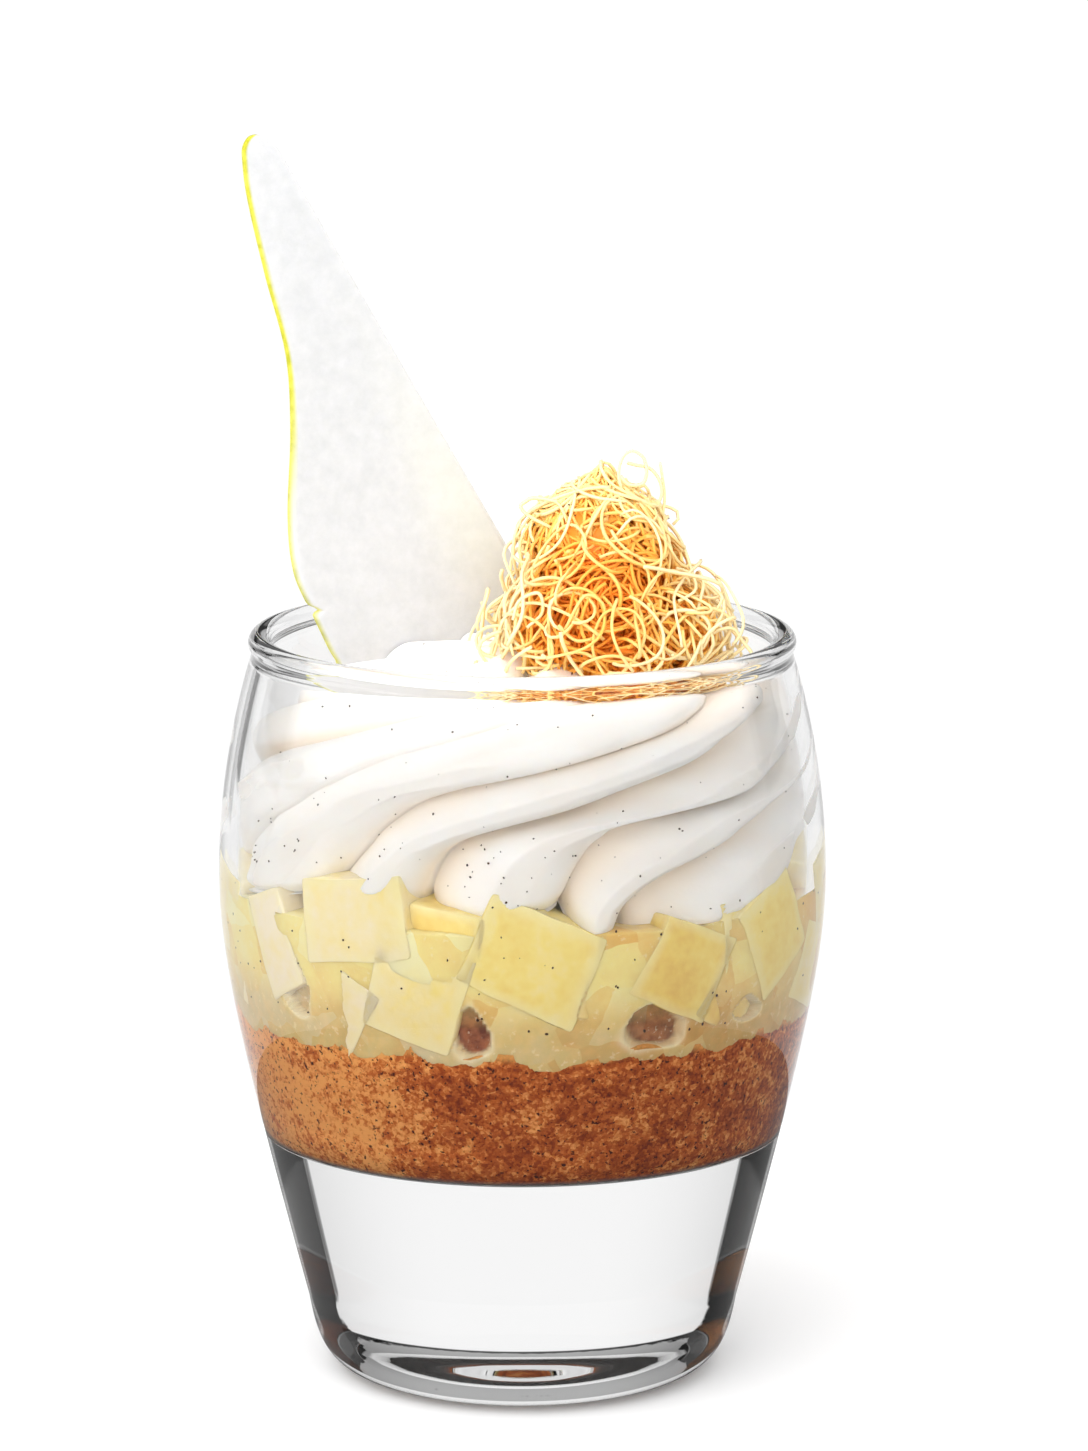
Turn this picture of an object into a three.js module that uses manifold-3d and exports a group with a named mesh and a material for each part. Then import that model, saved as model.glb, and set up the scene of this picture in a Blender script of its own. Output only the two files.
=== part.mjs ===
// A layered pear dessert in a heavy-based glass: spiced biscuit crumb, diced pear, a piped vanilla
// cream swirl, a nest of crisp pastry threads and a thin slice of pear standing in the cream.
// Millimetres, +Z up. The origin is the centre of the glass's foot, and -Y is the front.
import * as THREE from "three";
import { mergeVertices } from "three/addons/utils/BufferGeometryUtils.js";
import Module from "manifold-3d";

const wasm = await Module();
wasm.setup();

// ---- driving dimensions -------------------------------------------------------------------------
const GAP = 0.3; // clearance between neighbouring pieces

const GLASS_SEGMENTS = 44;
const GLASS_HEIGHT = 99;
const BELLY_RADIUS = 40;
const BELLY_HEIGHT = 66.5;
const MOUTH_CURVE = 0.00517; // how fast the wall closes in above the belly
const FOOT_SLOPE = 0.27; // lean that the wall reaches towards the foot
const FOOT_BEND = 17.2; // how softly the belly turns into that lean
const FOOT_TOP = 9.5; // height where the rounded foot meets the wall
const REST_RADIUS = 20.5; // outer edge of the flat ring that it rests on
const REST_INNER = 17.5;
const DIMPLE = 1.4; // depth of the hollow under the foot
const BEAD_RADIUS = 1.45; // round bead of the rim
const BEAD_CENTRE = 34.45;
const WALL_TOP = 2.0; // wall thickness at the mouth
const WALL_FLOOR = 3.9; // wall thickness at the cavity's floor
const WALL_THINNING = 3.2; // how soon it thins on the way up
const FLOOR_HEIGHT = 32.2;
const FLOOR_CORNER = 5.0;

const BISCUIT_TOP = 50.7;
const BISCUIT_RELIEF = 0.9;

const PEAR_CORE_RADIUS = 27;
const PEAR_BOTTOM = 52.9;
const PEAR_TOP = 68;
const ROOM_SEGMENTS = 24; // of the space inside the glass that the dice are cut to

// The dice in sight at the front: angle from the front, height, size across, in depth and in
// height, turns about X, Y and Z in degrees, and how far behind the wall the outer face lies.
const FRONT_DICE = [
  { angle: -35, height: 67.6, size: [12.5, 11, 10], turns: [4, -10, 0], behind: -0.9 },
  { angle: -57, height: 62.5, size: [7, 11, 13.5], turns: [0, -20, 8], behind: -0.7 },
  { angle: -14, height: 65, size: [10, 9, 9], turns: [6, 4, -12], behind: 1.2 },
  { angle: 1.5, height: 63.6, size: [13.5, 12, 11], turns: [3, 23, 4], behind: -1 },
  { angle: -21, height: 58.2, size: [11.5, 10, 12.5], turns: [-4, 17, 0], behind: -0.6 },
  { angle: 20, height: 60.5, size: [11.5, 10, 12], turns: [8, 12, 12], behind: 1 },
  { angle: 34, height: 60.6, size: [10, 11, 10.5], turns: [0, 14, -6], behind: -0.8 },
  { angle: 47, height: 65, size: [9, 10, 10], turns: [6, -8, 10], behind: 0.6 },
  { angle: 58, height: 62.6, size: [11, 11, 11], turns: [4, -32, 6], behind: -0.9 },
  { angle: -38, height: 56.6, size: [10.5, 10, 10.5], turns: [10, 35, -10], behind: 0.4 },
  { angle: -64, height: 55.4, size: [10, 10, 9], turns: [12, 24, 10], behind: 0.8 },
  { angle: 4, height: 54.6, size: [10, 9, 6.5], turns: [14, 12, 0], behind: 0.2 },
  { angle: 44, height: 56, size: [10.5, 10, 8], turns: [10, 30, 14], behind: 0.8 },
  { angle: -80, height: 64, size: [11, 10, 12], turns: [6, 10, 12], behind: -0.4 },
  { angle: 76, height: 57, size: [11.5, 10, 11], turns: [6, 18, 10], behind: -0.2 },
  { angle: 82, height: 67, size: [11, 10, 10], turns: [8, -14, 10], behind: 0 },
];
// The ring behind them, whose dice are set by chance.
const BACK_DICE = {
  heights: [57, 64.8],
  radius: 31,
  from: 104,
  to: 256,
  count: 5,
  size: [10, 13],
  turn: 30,
};

const CREAM = {
  top: 97.5, // height of the peak
  shoulder: 86, // where the side leaves the wall, at the front and back
  shoulderTilt: 5, // how much higher that is on the right, and lower on the left
  bottom: 69.5, // underside at the middle
  tipRound: 2.2, // how far the lower edge draws in from the wall
  press: 0.5, // how much of a ridge the wall has pressed flat
  groove: 5.4, // depth of the furrows
  lean: 1.5, // how far each ridge leans over the furrow below
  crest: 0.6, // how broad a ridge is: less for a broader ridge
  crowding: [1, 10], // degrees between two furrows where they fade out and where they are full
  domeClimb: 26, // how far the ridges climb from the shoulder to the peak
  edgeShare: 0.15, // shares of the rows that end at the lower edge and at the shoulder
  shoulderShare: 0.6,
};
// The swirl's furrows: the angle from the front of each at these heights, its depth as a share of
// the groove, and the ridge after it: how far it hangs below the bottom, and where along it.
const FURROW_HEIGHTS = [66, 70, 73, 76, 78, 80, 82, 84, 87, 90, 94];
const FURROWS = [
  { angles: [-88, -80, -74, -66, -60, -54, -48.5, -43, -36, -28, -14], depth: 0.4, hang: 2.4, lowest: 0.3 },
  { angles: [-50, -44, -40, -35, -32, -28, -23, -14, 4, 18, 34], depth: 0.75, hang: 0, lowest: 0.5 },
  { angles: [-23, -21.3, -19.8, -16.4, -11, 0, 13, 25, 44, 56, 68], depth: 1, hang: 2.2, lowest: 0.2 },
  { angles: [6.4, 8.5, 10.8, 14, 17.6, 26, 60, 72, 84, 94, 110], depth: 1, hang: 5.3, lowest: 0.84 },
  { angles: [19.2, 22.5, 31, 48, 58, 70, 79, 87, 98, 110, 126], depth: 1, hang: 6, lowest: 0.12 },
  { angles: [58, 70, 79, 87, 93, 99, 106, 114, 124, 136, 152], depth: 0.8, hang: 2.6, lowest: 0.4 },
  { angles: [98, 106, 113, 121, 127, 134, 141, 148, 159, 171, 186], depth: 0.9, hang: 4, lowest: 0.5 },
  { angles: [142, 150, 157, 165, 171, 178, 185, 192, 204, 216, 232], depth: 1, hang: 4.6, lowest: 0.4 },
  { angles: [188, 195, 202, 210, 216, 223, 230, 237, 248, 260, 275], depth: 0.8, hang: 3.4, lowest: 0.6 },
  { angles: [232, 239, 246, 254, 260, 266, 273, 279, 290, 302, 316], depth: 0.9, hang: 3, lowest: 0.5 },
];
const RIDGES = FURROWS.length;

const SLICE = {
  foot: [-27, 9], // where its skin edge's zero line stands, seen from above
  yaw: 12,
  thickness: 1.3,
  low: 84.5,
  high: 163.1,
  skinHeights: [93.1, 99, 104.7, 112, 124, 134, 145, 156, 163.1],
  skinOffsets: [2.1, -0.6, -3.1, -3.9, -3.5, -4.1, -6.9, -9.3, -9.9],
  cutTop: -5.2, // the straight cut edge, at its upper end
  cutTopHeight: 161.5,
  cutSlope: 0.568,
  capHeight: 160.6, // the rounded tip starts here
  toeHeight: 95, // the rounded toe, sunk in the cream, ends here
  calyx: 100, // height of the small notch at the blossom end
  calyxDepth: 1.1,
  calyxHalf: 0.42,
  wave: 0.7,
};

const NEST = {
  centre: [10.5, -2.2],
  bottom: 93,
  belly: 100, // height of its widest level
  radius: 16,
  top: 121.5,
  taper: [1.15, 0.55], // powers that shape its side from the belly to the top
  coreShare: 0.86,
  thread: 0.42, // radius of a thread
  threads: 9,
};

const COLOURS = {
  glass: 0xdfe8ea,
  biscuit: 0xb8733d,
  pear: 0xe6dc8c,
  cream: 0xf4efe6,
  nest: 0xeab45c,
  slice: 0xeef0e0,
};

// ---- helpers ------------------------------------------------------------------------------------
const rad = THREE.MathUtils.degToRad;
const smooth = THREE.MathUtils.smoothstep;
const lerp = THREE.MathUtils.lerp;

// A small seeded generator of numbers from 0 to 1.
function seeded(seed) {
  let state = seed;
  return () => {
    state = (state * 1664525 + 1013904223) % 4294967296;
    return state / 4294967296;
  };
}

// A smooth curve through values given at rising places, straight beyond them.
function through(places, values, at) {
  const last = places.length - 1;
  const slope = (k) => {
    const [a, b] = [Math.max(0, k - 1), Math.min(last, k + 1)];
    return (values[b] - values[a]) / (places[b] - places[a]);
  };
  if (at <= places[0]) return values[0] + (at - places[0]) * slope(0);
  if (at >= places[last]) return values[last] + (at - places[last]) * slope(last);
  const i = places.findLastIndex((place) => place <= at);
  const span = places[i + 1] - places[i];
  const s = (at - places[i]) / span;
  return (
    (2 * s ** 3 - 3 * s ** 2 + 1) * values[i] +
    (s ** 3 - 2 * s ** 2 + s) * span * slope(i) +
    (3 * s ** 2 - 2 * s ** 3) * values[i + 1] +
    (s ** 3 - s ** 2) * span * slope(i + 1)
  );
}

function shareVertices(geometry) {
  const bare = geometry.index ? geometry.toNonIndexed() : geometry.clone();
  bare.deleteAttribute("normal");
  bare.deleteAttribute("uv");
  return mergeVertices(bare, 1e-3);
}

// The same surface moved outwards along its normals.
function swollen(geometry, distance) {
  const merged = shareVertices(geometry);
  merged.computeVertexNormals();
  const { position, normal } = merged.attributes;
  for (let i = 0; i < position.count; i++) {
    position.setXYZ(
      i,
      position.getX(i) + distance * normal.getX(i),
      position.getY(i) + distance * normal.getY(i),
      position.getZ(i) + distance * normal.getZ(i),
    );
  }
  return merged;
}

function toSolid(geometry) {
  const merged = shareVertices(geometry);
  const corners = merged.index.array;
  const kept = [];
  for (let i = 0; i < corners.length; i += 3) {
    const [a, b, c] = [corners[i], corners[i + 1], corners[i + 2]];
    if (a !== b && b !== c && a !== c) kept.push(a, b, c);
  }
  return new wasm.Manifold(
    new wasm.Mesh({
      numProp: 3,
      vertProperties: merged.attributes.position.array,
      triVerts: new Uint32Array(kept),
    }),
  );
}

// The largest body of a solid, so that crumbs cut off by a boolean are dropped.
function largestBody(solid) {
  return solid.decompose().reduce((a, b) => (b.volume() > a.volume() ? b : a));
}

function toGeometry(solid) {
  const mesh = solid.getMesh();
  const geometry = new THREE.BufferGeometry();
  geometry.setAttribute("position", new THREE.BufferAttribute(mesh.vertProperties, mesh.numProp));
  geometry.setIndex(new THREE.BufferAttribute(mesh.triVerts, 1));
  geometry.computeVertexNormals();
  return geometry;
}

function polar(radius, azimuth, height) {
  return new THREE.Vector3(radius * Math.cos(azimuth), radius * Math.sin(azimuth), height);
}

function revolve(profile, segments) {
  return new THREE.LatheGeometry(profile, segments).rotateX(Math.PI / 2);
}

// A closed body wrapped round the Z axis. place(azimuth, share) gives the point at that azimuth, as
// share runs from 0 at the lower pole to 1 at the upper pole.
function wrapped(columns, rows, place) {
  const geometry = new THREE.SphereGeometry(1, columns, rows);
  const { position, uv } = geometry.attributes;
  for (let i = 0; i < position.count; i++) {
    const column = Math.round(uv.getX(i) * columns) % columns;
    const point = place((2 * Math.PI * column) / columns, uv.getY(i));
    position.setXYZ(i, point.x, point.y, point.z);
  }
  return geometry;
}

// ---- the glass ----------------------------------------------------------------------------------
function outerRadius(z) {
  if (z > BELLY_HEIGHT) return BELLY_RADIUS - MOUTH_CURVE * (z - BELLY_HEIGHT) ** 2;
  return BELLY_RADIUS - FOOT_SLOPE * (Math.hypot(BELLY_HEIGHT - z, FOOT_BEND) - FOOT_BEND);
}

function innerRadius(z) {
  const share = (z - FLOOR_HEIGHT) / (GLASS_HEIGHT - FLOOR_HEIGHT);
  return outerRadius(z) - lerp(WALL_FLOOR, WALL_TOP, 1 - Math.exp(-WALL_THINNING * share));
}

// The cavity's outline from the middle of its floor up to a height, taken in by a clearance.
function cavityOutline(top, inset, steps) {
  const points = [new THREE.Vector2(0, FLOOR_HEIGHT + inset)];
  const cornerTop = FLOOR_HEIGHT + FLOOR_CORNER;
  const flat = innerRadius(cornerTop) - FLOOR_CORNER;
  const reach = FLOOR_CORNER - inset;
  const cornerSteps = 4;
  for (let i = 0; i <= cornerSteps; i++) {
    const a = (i / cornerSteps) * (Math.PI / 2);
    points.push(new THREE.Vector2(flat + reach * Math.sin(a), cornerTop - reach * Math.cos(a)));
  }
  for (let i = 1; i <= steps; i++) {
    const z = lerp(cornerTop, top, i / steps);
    points.push(new THREE.Vector2(innerRadius(z) - inset, z));
  }
  return points;
}

function glassGeometry() {
  const foot = new THREE.CubicBezierCurve(
    new THREE.Vector2(REST_RADIUS, 0),
    new THREE.Vector2(26.5, 0),
    new THREE.Vector2(27.6, 4.2),
    new THREE.Vector2(outerRadius(FOOT_TOP), FOOT_TOP),
  );
  const beadHeight = GLASS_HEIGHT - BEAD_RADIUS;
  const outline = [
    new THREE.Vector2(0, DIMPLE),
    new THREE.Vector2(REST_INNER * 0.6, DIMPLE * 0.85),
    new THREE.Vector2(REST_INNER * 0.93, DIMPLE * 0.35),
    new THREE.Vector2(REST_INNER, 0),
    ...foot.getPoints(5),
  ];
  const wallSteps = 8;
  for (let i = 1; i <= wallSteps; i++) {
    const z = lerp(FOOT_TOP, beadHeight - BEAD_RADIUS * 0.75, i / wallSteps);
    outline.push(new THREE.Vector2(outerRadius(z), z));
  }
  const beadSteps = 6;
  for (let i = 0; i <= beadSteps; i++) {
    const a = rad(lerp(-25, 205, i / beadSteps));
    outline.push(
      new THREE.Vector2(BEAD_CENTRE + BEAD_RADIUS * Math.cos(a), beadHeight + BEAD_RADIUS * Math.sin(a)),
    );
  }
  outline.push(...cavityOutline(beadHeight - BEAD_RADIUS, 0, 6).reverse());
  return revolve(outline, GLASS_SEGMENTS);
}

// ---- the biscuit crumb --------------------------------------------------------------------------
function biscuitHeight(x, y, lift = 0) {
  const waves =
    Math.sin(0.19 * x + 1.1) * Math.cos(0.23 * y - 0.4) +
    0.6 * Math.sin(0.41 * x - 0.37 * y + 2) +
    0.35 * Math.cos(0.66 * x + 0.5 * y);
  return BISCUIT_TOP + BISCUIT_RELIEF * waves + lift;
}

function biscuitGeometry(grow = 0) {
  const side = cavityOutline(BISCUIT_TOP - 3, GAP - grow, 3);
  const sideShare = 0.5;
  return wrapped(36, 12, (azimuth, share) => {
    if (share < sideShare) {
      const place = (share / sideShare) * (side.length - 1);
      const i = Math.min(Math.floor(place), side.length - 2);
      const p = side[i].clone().lerp(side[i + 1], place - i);
      return polar(p.x, azimuth, p.y);
    }
    const out = Math.sqrt(1 - (share - sideShare) / (1 - sideShare));
    const [ring, edge] = [out, 1].map((reach) => polar(reach * innerRadius(BISCUIT_TOP), azimuth, 0));
    const wall = innerRadius(biscuitHeight(edge.x, edge.y)) - GAP + grow;
    return polar(out * wall, azimuth, biscuitHeight(ring.x, ring.y, grow));
  });
}

// ---- the cream swirl ----------------------------------------------------------------------------
// The mesh's columns run along the furrows, from the lower edge at the wall to the peak, so that a
// furrow stays sharp. A turn counts furrows round the swirl, and a whole number lies in one.
function furrowAngle(index, height) {
  const turns = Math.floor(index / RIDGES);
  return 360 * turns + through(FURROW_HEIGHTS, FURROWS[index - turns * RIDGES].angles, height);
}

function ridgeAngle(turn, height) {
  const before = Math.floor(turn);
  return lerp(furrowAngle(before, height), furrowAngle(before + 1, height), turn - before);
}

// How deep a furrow is: less where it runs close to the next.
function furrowDepth(index, height) {
  const [low, here, high] = [-1, 0, 1].map((step) => furrowAngle(index + step, height));
  const full = CREAM.groove * FURROWS[((index % RIDGES) + RIDGES) % RIDGES].depth;
  return full * smooth(Math.min(here - low, high - here), ...CREAM.crowding);
}

// How far the surface lies below a ridge's crest, which leans over the next furrow.
function ridgeDepth(turn, height) {
  const before = Math.floor(turn);
  const share = turn - before;
  const crest = Math.sin(Math.PI * share ** CREAM.lean) ** CREAM.crest;
  return lerp(furrowDepth(before, height), furrowDepth(before + 1, height), share) * (1 - crest);
}

function ridgeHang(turn) {
  const before = Math.floor(turn);
  const { hang, lowest } = FURROWS[((before % RIDGES) + RIDGES) % RIDGES];
  const share = turn - before;
  const bump = share < lowest ? share / lowest : (1 - share) / (1 - lowest);
  return hang * bump * (2 - bump);
}

// A point of the cream, as share runs from the middle of the underside (0) by the lower edge and
// the shoulder to the peak (1).
function creamPoint(turn, share) {
  const side = Math.max(0, (share - CREAM.edgeShare) / (CREAM.shoulderShare - CREAM.edgeShare));
  const dome = Math.max(0, (share - CREAM.shoulderShare) / (1 - CREAM.shoulderShare));
  const low = CREAM.bottom - ridgeHang(turn);
  let angle = ridgeAngle(turn, low);
  let shoulder, climb;
  for (let i = 0; i < 3; i++) {
    shoulder = CREAM.shoulder + CREAM.shoulderTilt * Math.sin(rad(angle));
    climb = dome ? shoulder + CREAM.domeClimb * dome : lerp(low, shoulder, side);
    angle = ridgeAngle(turn, climb);
  }
  const azimuth = rad(angle - 90);
  const depth = ridgeDepth(turn, climb);
  const wall = (z) => innerRadius(z) - GAP;
  if (side === 0) {
    const reach = Math.sqrt(share / CREAM.edgeShare);
    return polar(reach * (wall(CREAM.bottom) - depth), azimuth, lerp(CREAM.bottom, low, reach ** 6));
  }
  if (!dome) {
    const round = CREAM.tipRound * Math.max(0, 1 - side / 0.16) ** 2;
    return polar(wall(climb) - Math.max(0, round + depth - CREAM.press), azimuth, climb);
  }
  const across = Math.cos((dome * Math.PI) / 2);
  const up = Math.sin((dome * Math.PI) / 2);
  const cut = depth * smooth(across, 0.05, 0.5);
  const height = lerp(shoulder, CREAM.top, up) - cut * up;
  const radius = across * (wall(shoulder) + CREAM.press) - cut * (1 - up);
  return polar(Math.max(0, Math.min(wall(height), radius)), azimuth, height);
}

function creamGeometry(columnsPerRidge, rows) {
  return wrapped(columnsPerRidge * RIDGES, rows, (azimuth, share) =>
    creamPoint((RIDGES * azimuth) / (2 * Math.PI), share),
  );
}

// ---- the diced pear -----------------------------------------------------------------------------
function diePlaces() {
  const places = FRONT_DICE.map((die) => {
    const centre = polar(innerRadius(die.height) - die.size[1] / 2 - die.behind, rad(die.angle - 90), die.height);
    return { ...die, centre };
  });
  const random = seeded(20);
  BACK_DICE.heights.forEach((height, layer) => {
    for (let i = 0; i < BACK_DICE.count; i++) {
      const angle = lerp(BACK_DICE.from, BACK_DICE.to, (i + 0.5 * layer) / (BACK_DICE.count - 0.5));
      const size = [0, 1, 2].map(() => lerp(...BACK_DICE.size, random()));
      const turns = [0, 1, 2].map(() => lerp(-BACK_DICE.turn, BACK_DICE.turn, random()));
      places.push({ angle, size, turns, centre: polar(BACK_DICE.radius, rad(angle - 90), height) });
    }
  });
  return places;
}

function dieSolid({ angle, size, turns, centre }) {
  const die = new THREE.BoxGeometry(...size);
  die.rotateX(rad(turns[0])).rotateY(rad(turns[1])).rotateZ(rad(turns[2] + angle));
  return toSolid(die.translate(centre.x, centre.y, centre.z));
}

function pearGeometry(cream) {
  const core = new THREE.CylinderGeometry(PEAR_CORE_RADIUS, PEAR_CORE_RADIUS, PEAR_TOP - PEAR_BOTTOM, 18);
  core.rotateX(Math.PI / 2).translate(0, 0, (PEAR_TOP + PEAR_BOTTOM) / 2);
  const room = cavityOutline(CREAM.shoulder, GAP, 4);
  room.push(new THREE.Vector2(0, CREAM.shoulder));
  const heap = diePlaces()
    .map(dieSolid)
    .reduce((all, die) => all.add(die), toSolid(core))
    .intersect(toSolid(revolve(room, ROOM_SEGMENTS)))
    .subtract(toSolid(biscuitGeometry(GAP)))
    .subtract(cream);
  return toGeometry(largestBody(heap));
}

// ---- the pear slice -----------------------------------------------------------------------------
function skinEdge(z) {
  return through(SLICE.skinHeights, SLICE.skinOffsets, Math.max(z, SLICE.skinHeights[0]));
}

// The slice's two edges at a height: [skin side, cut side], along its own plane.
function sliceEdges(z) {
  const notch = SLICE.calyxDepth * Math.exp(-(((z - SLICE.calyx) / SLICE.calyxHalf) ** 2));
  let left = skinEdge(z) + notch;
  let right = SLICE.cutTop + (SLICE.cutTopHeight - z) * SLICE.cutSlope;
  const middle = (left + right) / 2;
  if (z > SLICE.capHeight) {
    const share = (z - SLICE.capHeight) / (SLICE.high - SLICE.capHeight);
    const close = 1 - Math.sqrt(Math.max(0, 1 - share ** 2));
    left = lerp(left, middle - 0.4, close);
    right = lerp(right, middle + 0.4, close);
  }
  if (z < SLICE.toeHeight) {
    const share = (SLICE.toeHeight - z) / (SLICE.toeHeight - SLICE.low);
    const close = 1 - Math.sqrt(Math.max(0, 1 - share ** 2));
    left = lerp(left, middle - 3, close);
    right = lerp(right, middle + 3, close);
  }
  return [left, right];
}

function sliceSolid(grow = 0) {
  const columns = 3;
  const heights = [];
  const rowCount = 20;
  for (let i = 0; i <= rowCount; i++) heights.push(lerp(SLICE.low, SLICE.high, i / rowCount));
  for (const step of [-2, -1, 0, 1, 2]) heights.push(SLICE.calyx + step * SLICE.calyxHalf);
  for (const step of [0.35, 0.7]) heights.push(SLICE.high - step);
  heights.sort((a, b) => a - b);
  const rows = heights.length - 1;
  const geometry = new THREE.BoxGeometry(1, 1, 1, columns, rows, 1);
  const position = geometry.attributes.position;
  const yaw = rad(SLICE.yaw);
  for (let i = 0; i < position.count; i++) {
    const row = Math.round((position.getY(i) + 0.5) * rows);
    const z = heights[row];
    const [left, right] = sliceEdges(z);
    const share = position.getX(i) + 0.5;
    const along = lerp(left - grow, right + grow, share);
    const bow = SLICE.wave * Math.sin((z - SLICE.low) / 16) * Math.cos(along / 9);
    const out = bow - position.getZ(i) * (SLICE.thickness + 2 * grow);
    const up = z + (row === rows ? grow : row === 0 ? -grow : 0);
    position.setXYZ(
      i,
      SLICE.foot[0] + along * Math.cos(yaw) - out * Math.sin(yaw),
      SLICE.foot[1] + along * Math.sin(yaw) + out * Math.cos(yaw),
      up,
    );
  }
  return toSolid(geometry);
}

// ---- the pastry nest ----------------------------------------------------------------------------
function nestRadius(z) {
  if (z < NEST.belly) return NEST.radius * (1 - 0.35 * ((NEST.belly - z) / (NEST.belly - NEST.bottom)) ** 2);
  const share = Math.min(1, (z - NEST.belly) / (NEST.top - NEST.belly));
  return NEST.radius * (1 - share ** NEST.taper[0]) ** NEST.taper[1];
}

function nestPoint(azimuth, height, share) {
  const radius = nestRadius(height) * share;
  const p = polar(radius, azimuth, height);
  return p.add(new THREE.Vector3(NEST.centre[0], NEST.centre[1], 0));
}

function threadSolid(points, steps) {
  const curve = new THREE.CatmullRomCurve3(points);
  const section = new THREE.Shape();
  const sides = 4;
  for (let i = 0; i < sides; i++) {
    const a = (2 * Math.PI * i) / sides;
    section[i ? "lineTo" : "moveTo"](NEST.thread * Math.cos(a), NEST.thread * Math.sin(a));
  }
  const options = { steps, extrudePath: curve, curveSegments: 1 };
  return toSolid(new THREE.ExtrudeGeometry(section, options));
}

// Threads lie over the mound in slanting, wavering arcs whose ends sink into it.
function nestThreads() {
  const random = seeded(7);
  const threads = [];
  for (let i = 0; i < NEST.threads; i++) {
    const start = 2 * Math.PI * (i / NEST.threads + 0.05 * random());
    const sweep = (random() < 0.5 ? -1 : 1) * (1.3 + 1.1 * random());
    const low = lerp(97.5, 104, random());
    const high = lerp(106, 118, random());
    const sway = 1.4 * (random() - 0.5);
    const points = [];
    const count = 9;
    for (let k = 0; k <= count; k++) {
      const s = k / count;
      const height = low + (high - low) * Math.sin(Math.PI * (0.08 + 0.8 * s)) + sway * Math.sin(9 * s);
      const sunk = k === 0 || k === count ? 0.72 : 0.94 + 0.06 * Math.sin(5 * s + i);
      points.push(nestPoint(start + sweep * s, Math.min(height, 119.5), sunk));
    }
    threads.push(threadSolid(points, 18));
  }
  return threads;
}

// Loops that stand off the mound, each an arc of an ellipse with both ends in the core.
const LOOPS = [
  { centre: [14.2, -4, 118.6], wide: [1.9, 0.6, 0], tall: [0.3, 0, 4.4], from: -60, to: 240 },
  { centre: [16.0, -4, 114.2], wide: [2.4, 1.0, 0.3], tall: [0, 0.8, 5.6], from: -75, to: 165 },
  { centre: [25.2, -6, 101.0], wide: [4.4, -1.6, 0.4], tall: [-0.5, 0.6, 3.6], from: -140, to: 190 },
];

function loopSolid(loop) {
  const points = [];
  const count = 12;
  for (let k = 0; k <= count; k++) {
    const a = rad(lerp(loop.from, loop.to, k / count));
    const drift = 1.6 * (k / count - 0.5); // keeps the two ends from crossing
    const at = (i) => loop.centre[i] + loop.wide[i] * Math.cos(a) + loop.tall[i] * Math.sin(a);
    points.push(new THREE.Vector3(at(0), at(1) + drift, at(2)));
  }
  return threadSolid(points, 20);
}

function nestGeometry(cream, slice) {
  const core = wrapped(20, 11, (azimuth, share) => {
    const height = lerp(NEST.bottom, NEST.top - 1, 0.5 - 0.5 * Math.cos(Math.PI * share));
    const lump = 1 + 0.05 * Math.sin(3 * azimuth + 0.5 * height) + 0.03 * Math.sin(5 * azimuth - height);
    const radius = share % 1 === 0 ? 0 : NEST.coreShare * lump;
    return nestPoint(azimuth, height, radius);
  });
  const heap = [...nestThreads(), ...LOOPS.map(loopSolid)]
    .reduce((all, thread) => all.add(thread), toSolid(core))
    .subtract(cream)
    .subtract(slice);
  return toGeometry(largestBody(heap));
}

// ---- the scene graph ----------------------------------------------------------------------------
function material(color, roughness, extra = {}) {
  return new THREE.MeshStandardMaterial({ color, roughness, metalness: 0, ...extra });
}

function named(name, geometry, look) {
  const mesh = new THREE.Mesh(geometry, look);
  mesh.name = name;
  return mesh;
}

const COLUMNS_PER_RIDGE = 7;
const CREAM_ROWS = 20;
const swirl = creamGeometry(COLUMNS_PER_RIDGE, CREAM_ROWS);
const swollenCream = toSolid(swollen(swirl, 1.6 * GAP)).add(toSolid(swollen(swirl, 0.15 * GAP)));
const slot = sliceSolid(GAP);
const cream = largestBody(toSolid(swirl).subtract(slot));

const dessert = new THREE.Group();
dessert.add(
  named("glass", glassGeometry(), material(COLOURS.glass, 0.03, { transparent: true, opacity: 0.35 })),
  named("biscuit_crumb", biscuitGeometry(), material(COLOURS.biscuit, 0.9)),
  named("diced_pear", pearGeometry(swollenCream), material(COLOURS.pear, 0.25)),
  named("vanilla_cream", toGeometry(cream), material(COLOURS.cream, 0.55)),
  named("pear_slice", toGeometry(sliceSolid()), material(COLOURS.slice, 0.35)),
  named("pastry_nest", nestGeometry(swollenCream, slot), material(COLOURS.nest, 0.6)),
);

export default dessert;
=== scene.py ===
"""A layered pear dessert in a heavy-based glass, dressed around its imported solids.

Shapes are worked out in millimetres in the solids' own frame and become metres as each mesh is
made. Angles round the glass are counted from the front, in degrees, positive towards the right.
"""
import math
import random
from functools import partialmethod

import bmesh
import bpy
import numpy as np
from mathutils import Euler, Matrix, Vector, noise


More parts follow.
